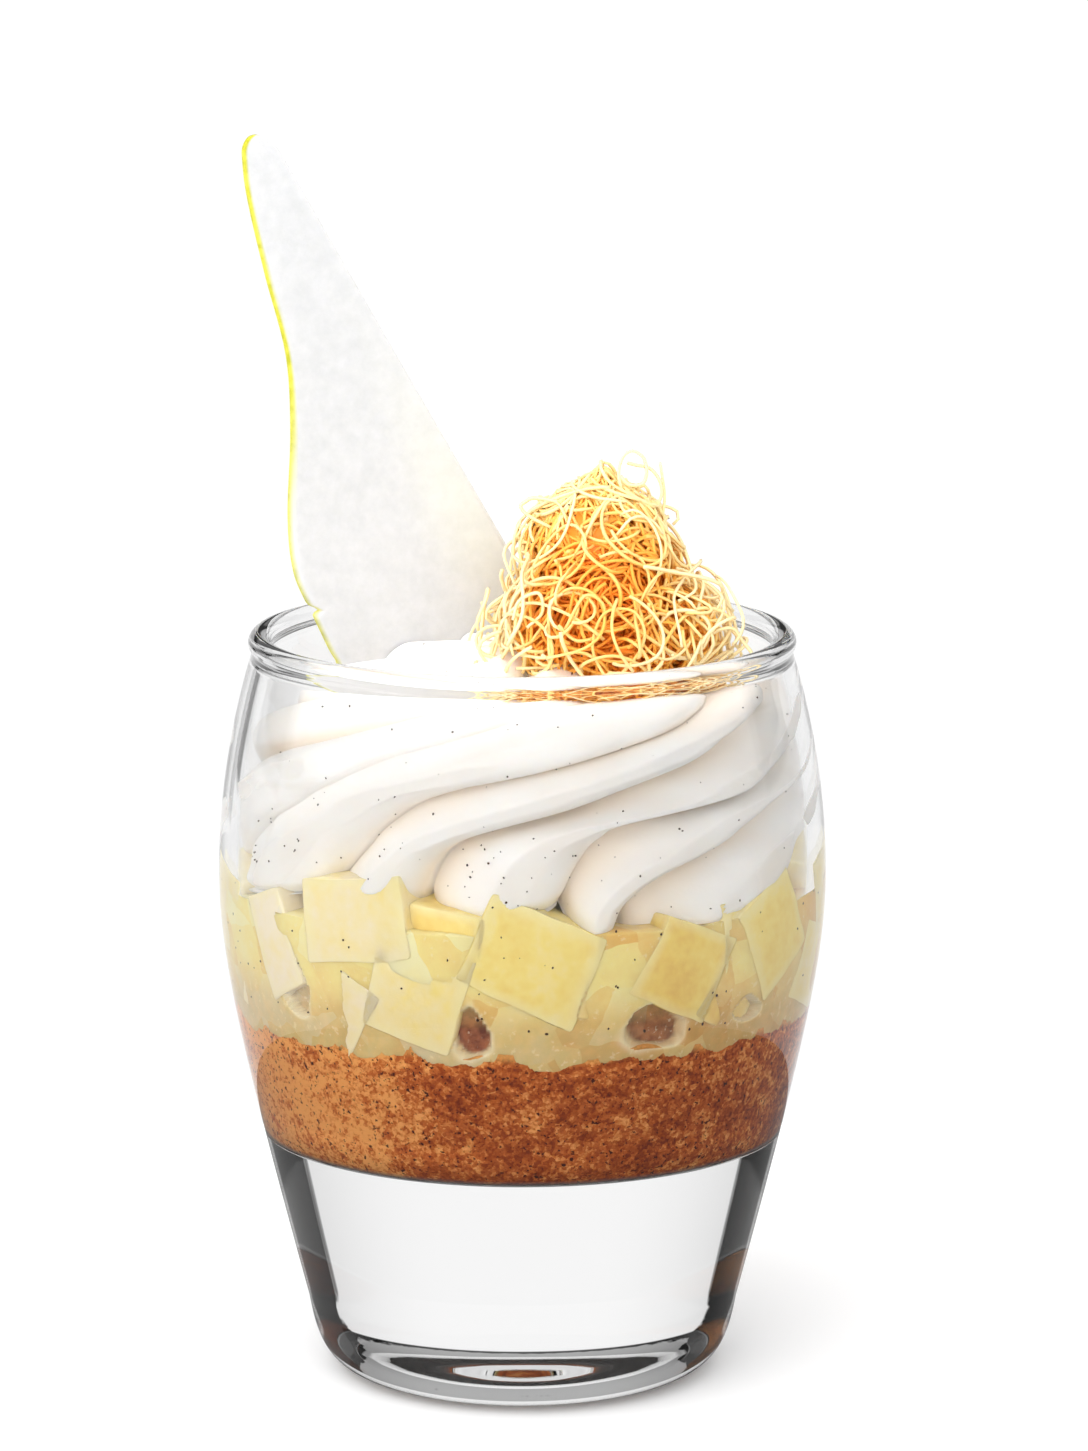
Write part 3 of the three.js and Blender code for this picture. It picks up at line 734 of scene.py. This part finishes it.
# ---- pear dice and juice ----
# Dice that show at the front: angle, height, size across, depth and height, turns about X, Y and
# Z, how deep behind the wall, and tint.
FRONT_DICE = [
    (-34.5, 67.3, (15, 11, 10.5), (4, -10, 0), -0.9, 0.28),
    (-57, 62.5, (7, 11, 13.5), (0, -20, 8), -0.7, 0.05),
    (-14, 65, (10, 9, 9), (6, 4, -12), 1.2, 0.72),
    (1, 63.4, (16, 12, 12), (3, 23, 4), -1, 0.62),
    (-21, 58.4, (12, 10, 13), (-4, 17, 0), -0.6, 0.42),
    (20, 60.5, (11.5, 10, 12), (8, 12, 12), 1, 0.95),
    (34, 60.8, (12, 11, 11.5), (0, 24, -6), -0.8, 0.80),
    (47, 65, (9, 10, 10), (6, -8, 10), 0.6, 0.55),
    (57, 63.6, (11, 11, 13.5), (4, -28, 6), -0.9, 0.60),
    (-38, 56.6, (10.5, 10, 10.5), (10, 35, -10), 0.4, 0.20),
    (-64, 55.4, (10, 10, 9), (12, 24, 10), 0.8, 0.10),
    (7, 54.6, (10, 9, 6.5), (4, 12, 0), 4.5, 0.80),
    (-9, 56, (9, 9, 9), (20, 8, 30), 4.5, 0.50),
    (29, 54.6, (9, 9, 6), (20, -10, 14), 4.5, 1.00),
    (44, 56, (10.5, 10, 8), (10, 30, 14), 0.8, 0.85),
    (-80, 64, (11, 10, 12), (6, 10, 12), -0.4, 0.30),
    (76, 57, (11.5, 10, 11), (6, 18, 10), -0.2, 0.50),
    (82, 67, (11, 10, 10), (8, -14, 10), 0, 0.40),
]
# The other dice stand in rings: radius, first and last angle, and how many. Each has two layers.
BACK_RING = (31.0, 100, 262, 7)
INNER_RING = (19.0, 0, 330, 9)
RING_HEIGHTS = (57.0, 64.8)
DIE_ROUND = 0.4


def dice_places(draw):
    """(centre, size, turns, angle, tint) of every die, those in sight first."""
    places = []
    for angle, height, size, turns, behind, tint in FRONT_DICE:
        centre = polar(inner_radius(height) - size[1] / 2 - behind, angle, height)
        places.append((centre, size, turns, angle, tint))
    for radius, start, end, count in (BACK_RING, INNER_RING):
        for layer, height in enumerate(RING_HEIGHTS):
            for k in range(count):
                angle = lerp(start, end, (k + 0.5 * layer) / (count - 0.5))
                centre = polar(radius, angle, height)
                size = [draw.uniform(10.0, 13.0) for _ in range(3)]
                turns = [draw.uniform(-30, 30) for _ in range(3)]
                places.append((centre, size, turns, angle, draw.random()))
    return places


def add_body(body, points, faces, place):
    """Takes a bmesh up into the lists, with each vertex where place puts it."""
    first = len(points)
    points.extend(place(vertex.co) for vertex in body.verts)
    faces.extend(tuple(first + v.index for v in face.verts) for face in body.faces)
    body.free()


def add_die(points, faces, edge_highlights, centre, size, turns, angle, draw):
    """One die with soft edges, its outer side pressed flat where it meets the wall."""
    body = bmesh.new()
    bmesh.ops.create_cube(body, size=1.0)
    for vertex in body.verts:
        skew = [draw.uniform(-0.05, 0.05) for _ in range(3)]
        vertex.co = Vector([(vertex.co[i] + skew[i]) * size[i] for i in range(3)])
    bmesh.ops.bevel(
        body, geom=body.edges[:], offset=DIE_ROUND, segments=3, profile=0.6, affect="EDGES",
        clamp_overlap=True,
    )
    bmesh.ops.subdivide_edges(
        body, edges=[e for e in body.edges if e.calc_length() > 4], cuts=9, use_grid_fill=True
    )
    turn = Euler([math.radians(t) for t in (turns[0], turns[1], turns[2] + angle)]).to_matrix()

    def place(co):
        outs = sorted(abs(co[i]) / (size[i] / 2) for i in range(3))
        # How near an edge the point is, for the painted glow there.
        edge_highlights.append(smoothstep(outs[1], 0.72, 1.0))
        spot = turn @ co + Vector(centre)
        spot += 0.3 * Vector(noise.noise_vector(spot / 4.0))
        return press(tuple(spot), DICE_INTO_WALL)

    add_body(body, points, faces, place)


def build_dice():
    draw = random.Random(11)
    noise.seed_set(11)  # for noise_vector, which would else differ from run to run
    points, faces, tints, edge_highlights = [], [], [], []
    for centre, size, turns, angle, tint in dice_places(draw):
        add_die(points, faces, edge_highlights, centre, size, turns, angle, draw)
        tints += [tint] * (len(points) - len(tints))
    attributes = {"tint": tints, "rim": edge_highlights}
    piece = make_piece("pear_dice", points, faces, pear_material(), attributes)
    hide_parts("diced_pear")


PULP_TOP = 66.5
PULP_BOTTOM = BISCUIT_TOP - 2.4
PULP_GRID = (119, 480)
PULP_UNDER = 0.2  # the share of its rows below it, and then up to its top edge
PULP_SIDE = 0.8
POCKET_DEPTH = 1.2
# Air pockets against the wall: angle, height, half width in degrees, half height, and how much of
# the crumb shows in each.
AIR_POCKETS = [
    (-10.3, 53.8, 4, 3.8, 1),
    (27, 54, 7, 3.2, 0.9),
    (-50, 56.8, 4, 3.6, 0.5),
    (50, 54, 4, 1.6, 0.4),
]


def build_pulp():
    """Juice and soft pear between the dice."""
    crumb_and_low_shade, rings = [], []

    def place(turn, share):
        angle = 360 * turn
        crumb_and_low_shade.append(0.0)
        rings.append(0.0)
        if share < PULP_UNDER:
            radius = share / PULP_UNDER * (inner_radius(PULP_BOTTOM) - 1.5)
            return polar(radius, angle, PULP_BOTTOM)
        if share < PULP_SIDE:
            up_side = (share - PULP_UNDER) / (PULP_SIDE - PULP_UNDER)
            height = lerp(PULP_BOTTOM, PULP_TOP, up_side)
            radius = inner_radius(height) + JUICE_INTO_WALL
            around = (angle + 180) % 360 - 180
            # Painted shade: darker and crumb-coloured low down, where the lowest dice lie in shade.
            crumb_and_low_shade[-1] = 0.3 * (1 - smoothstep(height, 52, 60))
            for at, level, half_width, half_height, crumb in AIR_POCKETS:
                up = (height - level) / half_height
                wide = half_width * (1 - 0.55 * clamp(up))
                away = math.hypot((around - at) / wide, up) + 0.12 * math.sin(0.5 * around + height)
                radius -= POCKET_DEPTH * smoothstep(-away, -1.06, -0.94)
                shown = smoothstep(-away, -1.02, -0.86) * (1 - 0.45 * max(0.0, up))
                crumb_and_low_shade[-1] = max(crumb_and_low_shade[-1], crumb * shown)
                # The pale ring round the pocket, a painted highlight.
                rings[-1] = max(rings[-1], math.exp(-((away - 1.06) / 0.12) ** 2))
            return polar(radius, angle, height)
        out = 1 - (share - PULP_SIDE) / (1 - PULP_SIDE)
        x, y, _ = polar(out * (inner_radius(PULP_TOP) + JUICE_INTO_WALL), angle, 0)
        return (x, y, PULP_TOP + 0.8 * noise.noise(Vector((x, y, 0)) / 7))

    attributes = {"crumb": crumb_and_low_shade, "ring": rings}
    piece = wrapped_piece("pear_juice", *PULP_GRID, place, pulp_material(), attributes)


# ---- pear slice ----
# The skin's line from the toe up: height, and how far along the slice.
SKIN_LINE = [
    (93.1, 2.1), (99, -0.6), (104.7, -3.1), (112, -3.9), (124, -3.5),
    (134, -4.1), (145, -6.9), (156, -9.3), (163.1, -9.9),
]
CUT_TOP = -5.2
CUT_TOP_HEIGHT = 161.5
CUT_SLOPE = 0.568
CAP_HEIGHT = 160.6
TOE_HEIGHT = 95.0
CALYX = 100.0
CALYX_DEPTH = 1.1
CALYX_HALF = 0.42
SLICE_THICKNESS = 1.3
SLICE_WAVE = 0.7
SLICE_ROWS = 260
SLICE_COLUMNS = 40
SKIN_ROUND = 0.5  # how far in from the skin its edge is rounded
SKIN_WIDTH = (0.35, 0.75)  # where the skin's colour fades


def slice_edges(z):
    """The slice's skin edge and cut edge at a height, along its own plane."""
    notch = CALYX_DEPTH * math.exp(-(((z - CALYX) / CALYX_HALF) ** 2))
    left = through(*zip(*SKIN_LINE), max(z, SKIN_LINE[0][0])) + notch
    right = CUT_TOP + (CUT_TOP_HEIGHT - z) * CUT_SLOPE
    middle = (left + right) / 2
    for beyond, span, half in (
        (z - CAP_HEIGHT, SLICE_HIGH - CAP_HEIGHT, 0.05),
        (TOE_HEIGHT - z, TOE_HEIGHT - SLICE_LOW, 3.0),
    ):
        if beyond > 0:
            close = 1 - math.sqrt(max(0.0, 1 - (beyond / span) ** 2))
            left = lerp(left, middle - half, close)
            right = lerp(right, middle + half, close)
    return left, right


def build_slice():
    yaw = math.radians(SLICE_YAW)
    half = SLICE_THICKNESS / 2
    # One ring of (share across, depth -1 to 1) round the thin section, rounded at the skin edge.
    front = [(k / SLICE_COLUMNS, -1.0) for k in range(SLICE_COLUMNS + 1)]
    cut = [(1.0, depth) for depth in (-0.5, 0.0, 0.5)]
    ring = front + cut + [(share, 1.0) for share, _ in reversed(front)]
    ring += [(0.0, depth) for _, depth in reversed(cut)]
    points, skins, cores = [], [], []
    for row in range(SLICE_ROWS + 1):
        z = lerp(SLICE_LOW, SLICE_HIGH, 1 - (1 - row / SLICE_ROWS) ** 1.15)
        left, right = slice_edges(z)
        for share, depth in ring:
            along = lerp(left, right, share)
            outer = clamp(1 - (along - left) / SKIN_ROUND)
            round_off = 1 - math.sqrt(1 - outer ** 2)
            bow = SLICE_WAVE * math.sin((z - SLICE_LOW) / 16) * math.cos(along / 9)
            out = bow + depth * half * (1 - 0.8 * round_off)
            x = SLICE_FOOT[0] + along * math.cos(yaw) - out * math.sin(yaw)
            y = SLICE_FOOT[1] + along * math.sin(yaw) + out * math.cos(yaw)
            points.append((x, y, z))
            skins.append(1 - smoothstep(along - left, *SKIN_WIDTH))
            cores.append(smoothstep(share, 0.55, 0.9) * math.exp(-(((z - 112) / 16) ** 2)))
    piece = make_piece(
        "pear_slice_flesh", points, tube_faces(SLICE_ROWS + 1, len(ring), 0), slice_material(),
        {"skin": skins, "core": cores},
    )
    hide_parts("pear_slice")


# ---- pastry nest ----
NEST_CORE = 0.66  # the dense middle's share of the nest's radius
CORE_GRID = (24, 48)
NEST_HEIGHTS = (93, 97.8, 102.2, 106.7, 111, 115.5, 118, 120, 121.5)
NEST_RADII = (13.5, 16, 14.2, 11.6, 10.4, 8.2, 5.4, 2.6, 0.4)
NEST_GLOW = (10.8, 104.0, 11.0)  # the orange heart, a painted glow: across, height and radius
NEST_MIDDLE = 103.0
THREADS = 820
PALE_SHARE = 0.16  # of them, at the outside
LOOSE = 36  # pale threads that stand off round the nest's foot
THREAD_RADIUS = 0.25
THREAD_SIDES = 4
THREAD_STEP = 1.0
CURL_START = (0.08, 0.30)  # how sharply a thread bends, per millimetre
CURL_LIMITS = (0.03, 0.36)
CURL_DRIFT = 0.03
WOBBLE_KEPT = 0.9  # from step to step
WOBBLE_NEW = 0.35
LOOK_AHEAD = 2.0
STRAY_STEPS = 6


def nest_radius(z):
    return max(0.3, through(NEST_HEIGHTS, NEST_RADII, clamp(z, NEST_BOTTOM, NEST_TOP)))


def nest_share(point):
    """0 on the nest's axis and 1 at its outside."""
    across = math.hypot(point[0] - NEST_CENTRE[0], point[1] - NEST_CENTRE[1])
    over = max(0.0, point[2] - (NEST_TOP - 1.5)) / 4
    under = max(0.0, NEST_BOTTOM + 1.0 - point[2]) / 3
    lumps = 1 + 0.3 * noise.noise(Vector(point) / 9)
    return across / (lumps * max(1.5, nest_radius(point[2]))) + over + under


def nest_glow_and_shade(point):
    """How deep its colour is: most in the orange heart, a painted glow, and more further in,
    painted shade between the threads.
    """
    inside = max(0.0, 1 - nest_share(point)) * nest_radius(point[2])
    away = ((point[0] - NEST_GLOW[0]) ** 2 + (point[2] - NEST_GLOW[1]) ** 2) / NEST_GLOW[2] ** 2
    return 0.66 * math.exp(-away) + 0.18 * inside


def any_way(draw):
    return Vector([draw.gauss(0, 1) for _ in range(3)])


def nest_place(radius, angle, height):
    """A point round the nest's own axis."""
    x, y, z = polar(radius, angle, height)
    return (NEST_CENTRE[0] + x, NEST_CENTRE[1] + y, z)


def wander(draw, start, length, shell):
    """A path that curls about and stays near its shell of the nest."""
    point = Vector(start)
    direction = any_way(draw).normalized()
    wobble = any_way(draw)
    side = draw.choice((-1, 1))
    curl = draw.uniform(*CURL_START)
    path = [point]
    for _ in range(int(length / THREAD_STEP)):
        x, y = point.x - NEST_CENTRE[0], point.y - NEST_CENTRE[1]
        outward = Vector((x, y, 0.6 * (point.z - NEST_MIDDLE)))
        outward.normalize()
        wobble = WOBBLE_KEPT * wobble + WOBBLE_NEW * any_way(draw)
        axis = (side * outward + 0.5 * wobble).normalized()
        curl = clamp(curl + draw.gauss(0, CURL_DRIFT), *CURL_LIMITS)
        direction = (direction + THREAD_STEP * curl * direction.cross(axis)).normalized()
        excess = nest_share(point + LOOK_AHEAD * direction) - shell
        if excess > 0:
            direction = (direction - outward * min(0.7, 3.0 * excess)).normalized()
        elif excess < -0.15:
            direction = (direction + outward * 0.2).normalized()
        point = point + THREAD_STEP * direction
        path.append(point)
    return path


# Threads that stand out in the photo: how far each lies in front of the nest's middle, then the
# places it goes through, across and up.
STRAYS = [
    (3, [(13.8, 116), (12.8, 118.5), (12.5, 120.7), (13.1, 122.6), (14.3, 123.3),
         (15.7, 122.4), (16.1, 120.4), (15.5, 119), (13.8, 118.9), (12.7, 120)]),
    (2, [(13.6, 121.6), (14.8, 121.3), (16.5, 120.9), (17.7, 119.5), (18.1, 117.7),
         (17.6, 116.2), (16, 113)]),
    (1, [(17.9, 121.5), (18.2, 119.5), (18.5, 117), (18.2, 114.5), (17.4, 112.1), (14, 110)]),
    (4, [(17, 110), (18.8, 108.1), (19.8, 105.4), (21.2, 104.5), (23.2, 104.4),
         (24.9, 104.2), (26.2, 105.1)]),
    (7, [(16, 101), (20.8, 101.1), (23.2, 99.6), (25.7, 100.6), (27.4, 100.6),
         (28.6, 98.9), (29.7, 97.4), (29.3, 96.2), (27.7, 96.2)]),
    (6, [(17, 96.5), (21.3, 98.7), (23.7, 101.1), (25.4, 103.4), (25.9, 104.6)]),
    (6, [(1, 96), (-3.3, 96.7), (-5.3, 97.4), (-6, 99.2), (-4.8, 100.6), (-1.8, 101.1)]),
    (2, [(5, 116.5), (1.6, 117), (0.4, 116.5), (-0.2, 115.8), (1.1, 114.5), (4, 113)]),
    (10.5, [(-4.3, 95.2), (-0.8, 94.6), (5.6, 94.6), (11, 94.6), (11.2, 95.7), (5.6, 96.2),
            (-0.8, 96.1)]),
    (15.3, [(5.5, 102.1), (8, 106.4), (10.4, 105.1), (10, 101.6), (7, 100.6), (4.6, 102.6)]),
    (15.6, [(11, 95.2), (9, 99.6), (10.4, 104.1), (13.9, 104.6), (15.6, 102.1), (15, 99.2),
            (12.4, 96)]),
    (11.5, [(-1.2, 102.6), (-0.4, 105.1), (2.1, 106.1), (2.6, 103.6), (0.6, 101.6)]),
]


def build_nest():
    draw = random.Random(5)
    points, faces, thread_glow_and_shade = [], [], []

    def add_thread(path, tone):
        first = len(points)
        radius = THREAD_RADIUS * draw.uniform(0.85, 1.12)
        points.extend(tube_points(path, radius, THREAD_SIDES))
        faces.extend(tube_faces(len(path), THREAD_SIDES, first))
        for p in path:
            thread_glow_and_shade.extend([clamp(nest_glow_and_shade(p) + tone)] * THREAD_SIDES)

    for _ in range(THREADS):
        outer = draw.random() < PALE_SHARE
        shell = draw.uniform(0.9, 1.04) if outer else draw.uniform(0.62, 0.88)
        height = lerp(NEST_BOTTOM + 1, NEST_TOP - 2, draw.random() ** 1.1)
        around = draw.uniform(0, 360)
        reach = nest_radius(height) * shell * draw.uniform(0.85, 1.0)
        start = nest_place(reach, around, height)
        path = wander(draw, start, draw.uniform(18, 36), shell)
        # Tone varies at random, and the outer threads are paler: painted light.
        add_thread(path, draw.uniform(-0.1, 0.15) - (0.15 if outer else 0.0))
    for _ in range(LOOSE):
        shell = draw.uniform(1.05, 1.25)
        height = draw.uniform(NEST_BOTTOM + 1.5, NEST_BOTTOM + 9)
        start = nest_place(nest_radius(height) * shell * 0.95, draw.uniform(0, 360), height)
        path = wander(draw, start, draw.uniform(12, 24), shell)
        # Paler: painted light on the loose threads.
        add_thread(path, draw.uniform(-0.5, -0.3))
    for forward, places in STRAYS:
        knots = np.array([(x, NEST_CENTRE[1] - forward, z) for x, z in places])
        count = STRAY_STEPS * (len(knots) - 1)
        path = [through(range(len(knots)), knots, k / STRAY_STEPS) for k in range(count + 1)]
        # Paler: painted light on the stray threads.
        add_thread(path, draw.uniform(-0.35, -0.2))

    def core(turn, share):
        """The dense middle, so that only more pastry shows between the threads."""
        height = lerp(NEST_BOTTOM + 1, NEST_TOP - 5, share)
        radius = NEST_CORE * nest_radius(height) if 0 < share < 1 else 0.0
        bump = 1 + 0.14 * noise.noise(Vector(polar(radius, 360 * turn, height)) / 2.5)
        return nest_place(radius * bump, 360 * turn, height)

    first = len(points)
    points += wrap_points(*CORE_GRID, core)
    faces += [tuple(first + k for k in face) for face in wrap_faces(*CORE_GRID)]
    # The dense middle takes the deepest orange of the painted glow and shade.
    thread_glow_and_shade += [1.0] * (len(points) - first)
    piece = make_piece("pastry_threads", points, faces, thread_material(), {"depth": thread_glow_and_shade})
    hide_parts("pastry_nest")


# ---- vanilla seeds ----
CREAM_SEEDS = 500
PEAR_SEEDS = 130
NEST_SEEDS = 60


def build_seeds():
    draw = random.Random(3)
    points, faces = [], []

    def add_seed(centre, radius):
        body = bmesh.new()
        bmesh.ops.create_icosphere(body, subdivisions=1, radius=radius)
        stretch = Vector((1, draw.uniform(0.6, 1.0), draw.uniform(0.5, 0.9)))
        turn = Euler([draw.uniform(0, math.tau) for _ in range(3)]).to_matrix()
        add_body(body, points, faces, lambda co: tuple(turn @ (co * stretch) + Vector(centre)))

    for _ in range(CREAM_SEEDS):
        share = draw.uniform(EDGE_SHARE + 0.01, 0.9)
        turn = draw.uniform(0, RIDGES)
        add_seed(cream_point(turn, share), draw.uniform(0.09, 0.2))
    for _ in range(PEAR_SEEDS):
        height = draw.uniform(BISCUIT_TOP + 2, PEAR_TOP)
        centre = polar(inner_radius(height), draw.uniform(0, 360), height)
        add_seed(centre, draw.uniform(0.16, 0.28))
    for _ in range(NEST_SEEDS):
        around, height = draw.uniform(0, 360), draw.uniform(NEST_BOTTOM + 2, NEST_TOP - 3)
        centre = nest_place(nest_radius(height) * draw.uniform(0.85, 0.97), around, height)
        add_seed(centre, draw.uniform(0.12, 0.2))
    piece = make_piece("vanilla_seeds", points, faces, seed_material())


# ---- stage, lights and camera ----
FLOOR_RADIUS = 0.13
FLOOR_DROP = 0.0002  # below the foot
FLOOR_LEVELS = (0.945, 0.2)  # seen directly, and by way of the glass


def build_floor():
    bpy.ops.mesh.primitive_circle_add(
        vertices=96, radius=FLOOR_RADIUS, fill_type="NGON", location=(0, 0, -FLOOR_DROP)
    )
    floor = bpy.context.object
    floor.name = "floor"
    look = Look("floor_white", Roughness=0.9, Specular_IOR_Level=0.1)
    # It is dimmer by way of the glass, so that the glass's front doesn't veil what is in it.
    glossy = look.node("ShaderNodeLightPath").outputs["Is Glossy Ray"]
    look.colour(look.mix(glossy, *((level, level, level, 1.0) for level in FLOOR_LEVELS)))
    floor.data.materials.append(look.material)


BAND_EDGE = 46.0  # where the bands begin, in degrees from straight behind
BAND_LEAN = -0.8  # how much further out they begin for each degree up, as far as BAND_LEAN_TOP
BAND_LEAN_TOP = 8.0
BAND_END = 72.0
BAND_CLIMB = (-1.5, 22.0)
BAND_LEVELS = (0.0, 0.03)  # left of the glass and right of it
LINE = (-33.0, -27.0)  # a thin dark line low on the left
LINE_CLIMB = (-9.0, -1.5)
LINE_LEVEL = 0.05
SWAY = 5.0  # how uneven the edges are
SWAY_SCALE = 26.0
BEHIND = 0.93  # the level straight behind, and how much less by the bands
BEHIND_FADE = 0.12
BEHIND_MIDDLE = 12.0
BAR = (9.0, 24.0)  # a grey bar above, which the foot shows, darker below BAR_DARK
BAR_DARK = 13.0
BAR_LEVELS = (0.15, 0.5)
BAR_END = 46.0
FRONT_EDGE = -0.5  # how far forward a direction leans where the front of the room begins
FRONT_LEVELS = (0.1, 0.8)  # in front, in reflections and through the glass
LIGHT_FROM = (-0.28, -0.6, 0.42)
LIGHT_BASE = 1.02
LIGHT_MORE = 2.5
LIGHT_FOCUS = 3.0
LIGHT_ABOVE = 0.22  # how much less comes from straight above
WORLD_LEVEL = 1.05


def build_world():
    """A white room with dark upright bands behind the glass, which give it its dark edges."""
    world = bpy.data.worlds.new("studio")
    bpy.context.scene.world = world
    world.use_nodes = True
    world.node_tree.nodes.clear()
    room = Nodes(world.node_tree)
    plus, minus, times = room.plus, room.minus, room.times

    def below(value, edge, soft):
        """1 below an edge and 0 above it."""
        return minus(1.0, room.range(value, edge - soft, edge + soft))

    def within(value, low, high, soft):
        return times(room.range(value, low - soft, low + soft), below(value, high, soft))

    def between(levels, share):
        return plus(levels[0], times(share, levels[1] - levels[0]))

    direction = room.node("ShaderNodeTexCoord").outputs["Generated"]
    split = room.node("ShaderNodeSeparateXYZ", Vector=direction).outputs
    azimuth = room.math("DEGREES", room.math("ARCTAN2", split["X"], split["Y"]))
    aside = room.math("ABSOLUTE", azimuth)
    climb = room.math("DEGREES", room.math("ARCSINE", split["Z"]))
    ripple = room.node("ShaderNodeTexNoise", Vector=direction, Scale=SWAY_SCALE).outputs["Fac"]
    sway = times(minus(ripple, 0.5), SWAY)

    level = minus(BEHIND, times(room.range(aside, BEHIND_MIDDLE, BAND_EDGE), BEHIND_FADE))
    low = room.math("MINIMUM", room.math("MAXIMUM", climb, 0.0), BAND_LEAN_TOP)
    side = plus(minus(aside, times(minus(low, BAND_LEAN_TOP / 2), BAND_LEAN)), sway)
    band = times(room.range(side, BAND_EDGE - 1, BAND_EDGE + 1), below(aside, BAND_END, 2))
    band = times(band, within(climb, *BAND_CLIMB, 0.7))
    band_level = between(BAND_LEVELS, room.math("GREATER_THAN", azimuth, 0.0))
    level = minus(level, times(band, minus(level, band_level)))
    line = times(within(azimuth, *LINE, 1.5), within(climb, *LINE_CLIMB, 0.7))
    level = minus(level, times(line, 1 - LINE_LEVEL))
    bar = times(within(climb, *BAR, 0.8), below(aside, BAR_END, 3))
    bar_level = between(BAR_LEVELS, room.range(plus(climb, sway), BAR_DARK - 1, BAR_DARK + 1))
    level = minus(level, times(bar, minus(1.0, bar_level)))
    ray = room.node("ShaderNodeLightPath").outputs
    back = room.range(split["Y"], FRONT_EDGE, 0.0)
    front = times(between(FRONT_LEVELS, ray["Is Transmission Ray"]), minus(1.0, back))
    level = times(level, plus(back, front))

    # What lights the food: paler all round and stronger from the left.
    toward = room.node("ShaderNodeVectorMath", {"operation": "DOT_PRODUCT"})
    room.join(direction, toward.inputs[0])
    room.join(Vector(LIGHT_FROM).normalized(), toward.inputs[1])
    strong = room.math("MAXIMUM", toward.outputs["Value"], 0.0)
    lighting = plus(times(room.math("POWER", strong, LIGHT_FOCUS), LIGHT_MORE), LIGHT_BASE)
    lighting = minus(lighting, times(room.range(split["Z"], 0.2, 1.0), LIGHT_ABOVE))
    scattered = room.math("GREATER_THAN", ray["Diffuse Depth"], 0.5)
    level = plus(level, times(minus(lighting, level), scattered))
    level = room.math("MAXIMUM", level, ray["Is Camera Ray"])
    background = room.node("ShaderNodeBackground", Color=level, Strength=WORLD_LEVEL).outputs[0]
    room.node("ShaderNodeOutputWorld", Surface=background)


KEY_PLACE = (-0.75, -0.35, 0.95)
KEY_TARGET = (0.0, 0.0, 0.06)
KEY_SIZE = 0.5
KEY_ENERGY = 0.6
KEY_COLOUR = (1.0, 0.985, 0.96)


def build_key_light():
    data = bpy.data.lights.new("key", "AREA")
    data.shape = "DISK"
    data.size = KEY_SIZE
    data.energy = KEY_ENERGY
    data.color = KEY_COLOUR
    light = bpy.data.objects.new("key", data)
    light.location = KEY_PLACE
    away = Vector(KEY_TARGET) - Vector(KEY_PLACE)
    light.rotation_euler = away.to_track_quat("-Z", "Y").to_euler()
    bpy.context.scene.collection.objects.link(light)


CAMERA_PLACE = (0.0, -0.77773, 0.23690)
CAMERA_DOWN = 10.97  # degrees below level
CAMERA_RIGHT = 0.209  # degrees to the right
CAMERA_LENS = 149.65


def build_camera():
    data = bpy.data.cameras.new("camera")
    data.sensor_width = 36.0
    data.lens = CAMERA_LENS
    camera = bpy.data.objects.new("camera", data)
    camera.location = CAMERA_PLACE
    camera.rotation_euler = (math.radians(90 - CAMERA_DOWN), 0.0, math.radians(-CAMERA_RIGHT))
    bpy.context.scene.collection.objects.link(camera)
    bpy.context.scene.camera = camera


# ---- the scene ----
build_camera()
build_floor()
build_world()
build_key_light()
bpy.context.scene.view_settings.view_transform = "Standard"

build_glass()
build_biscuit()
build_pulp()
build_dice()
build_cream()
build_slice()
build_nest()
build_seeds()
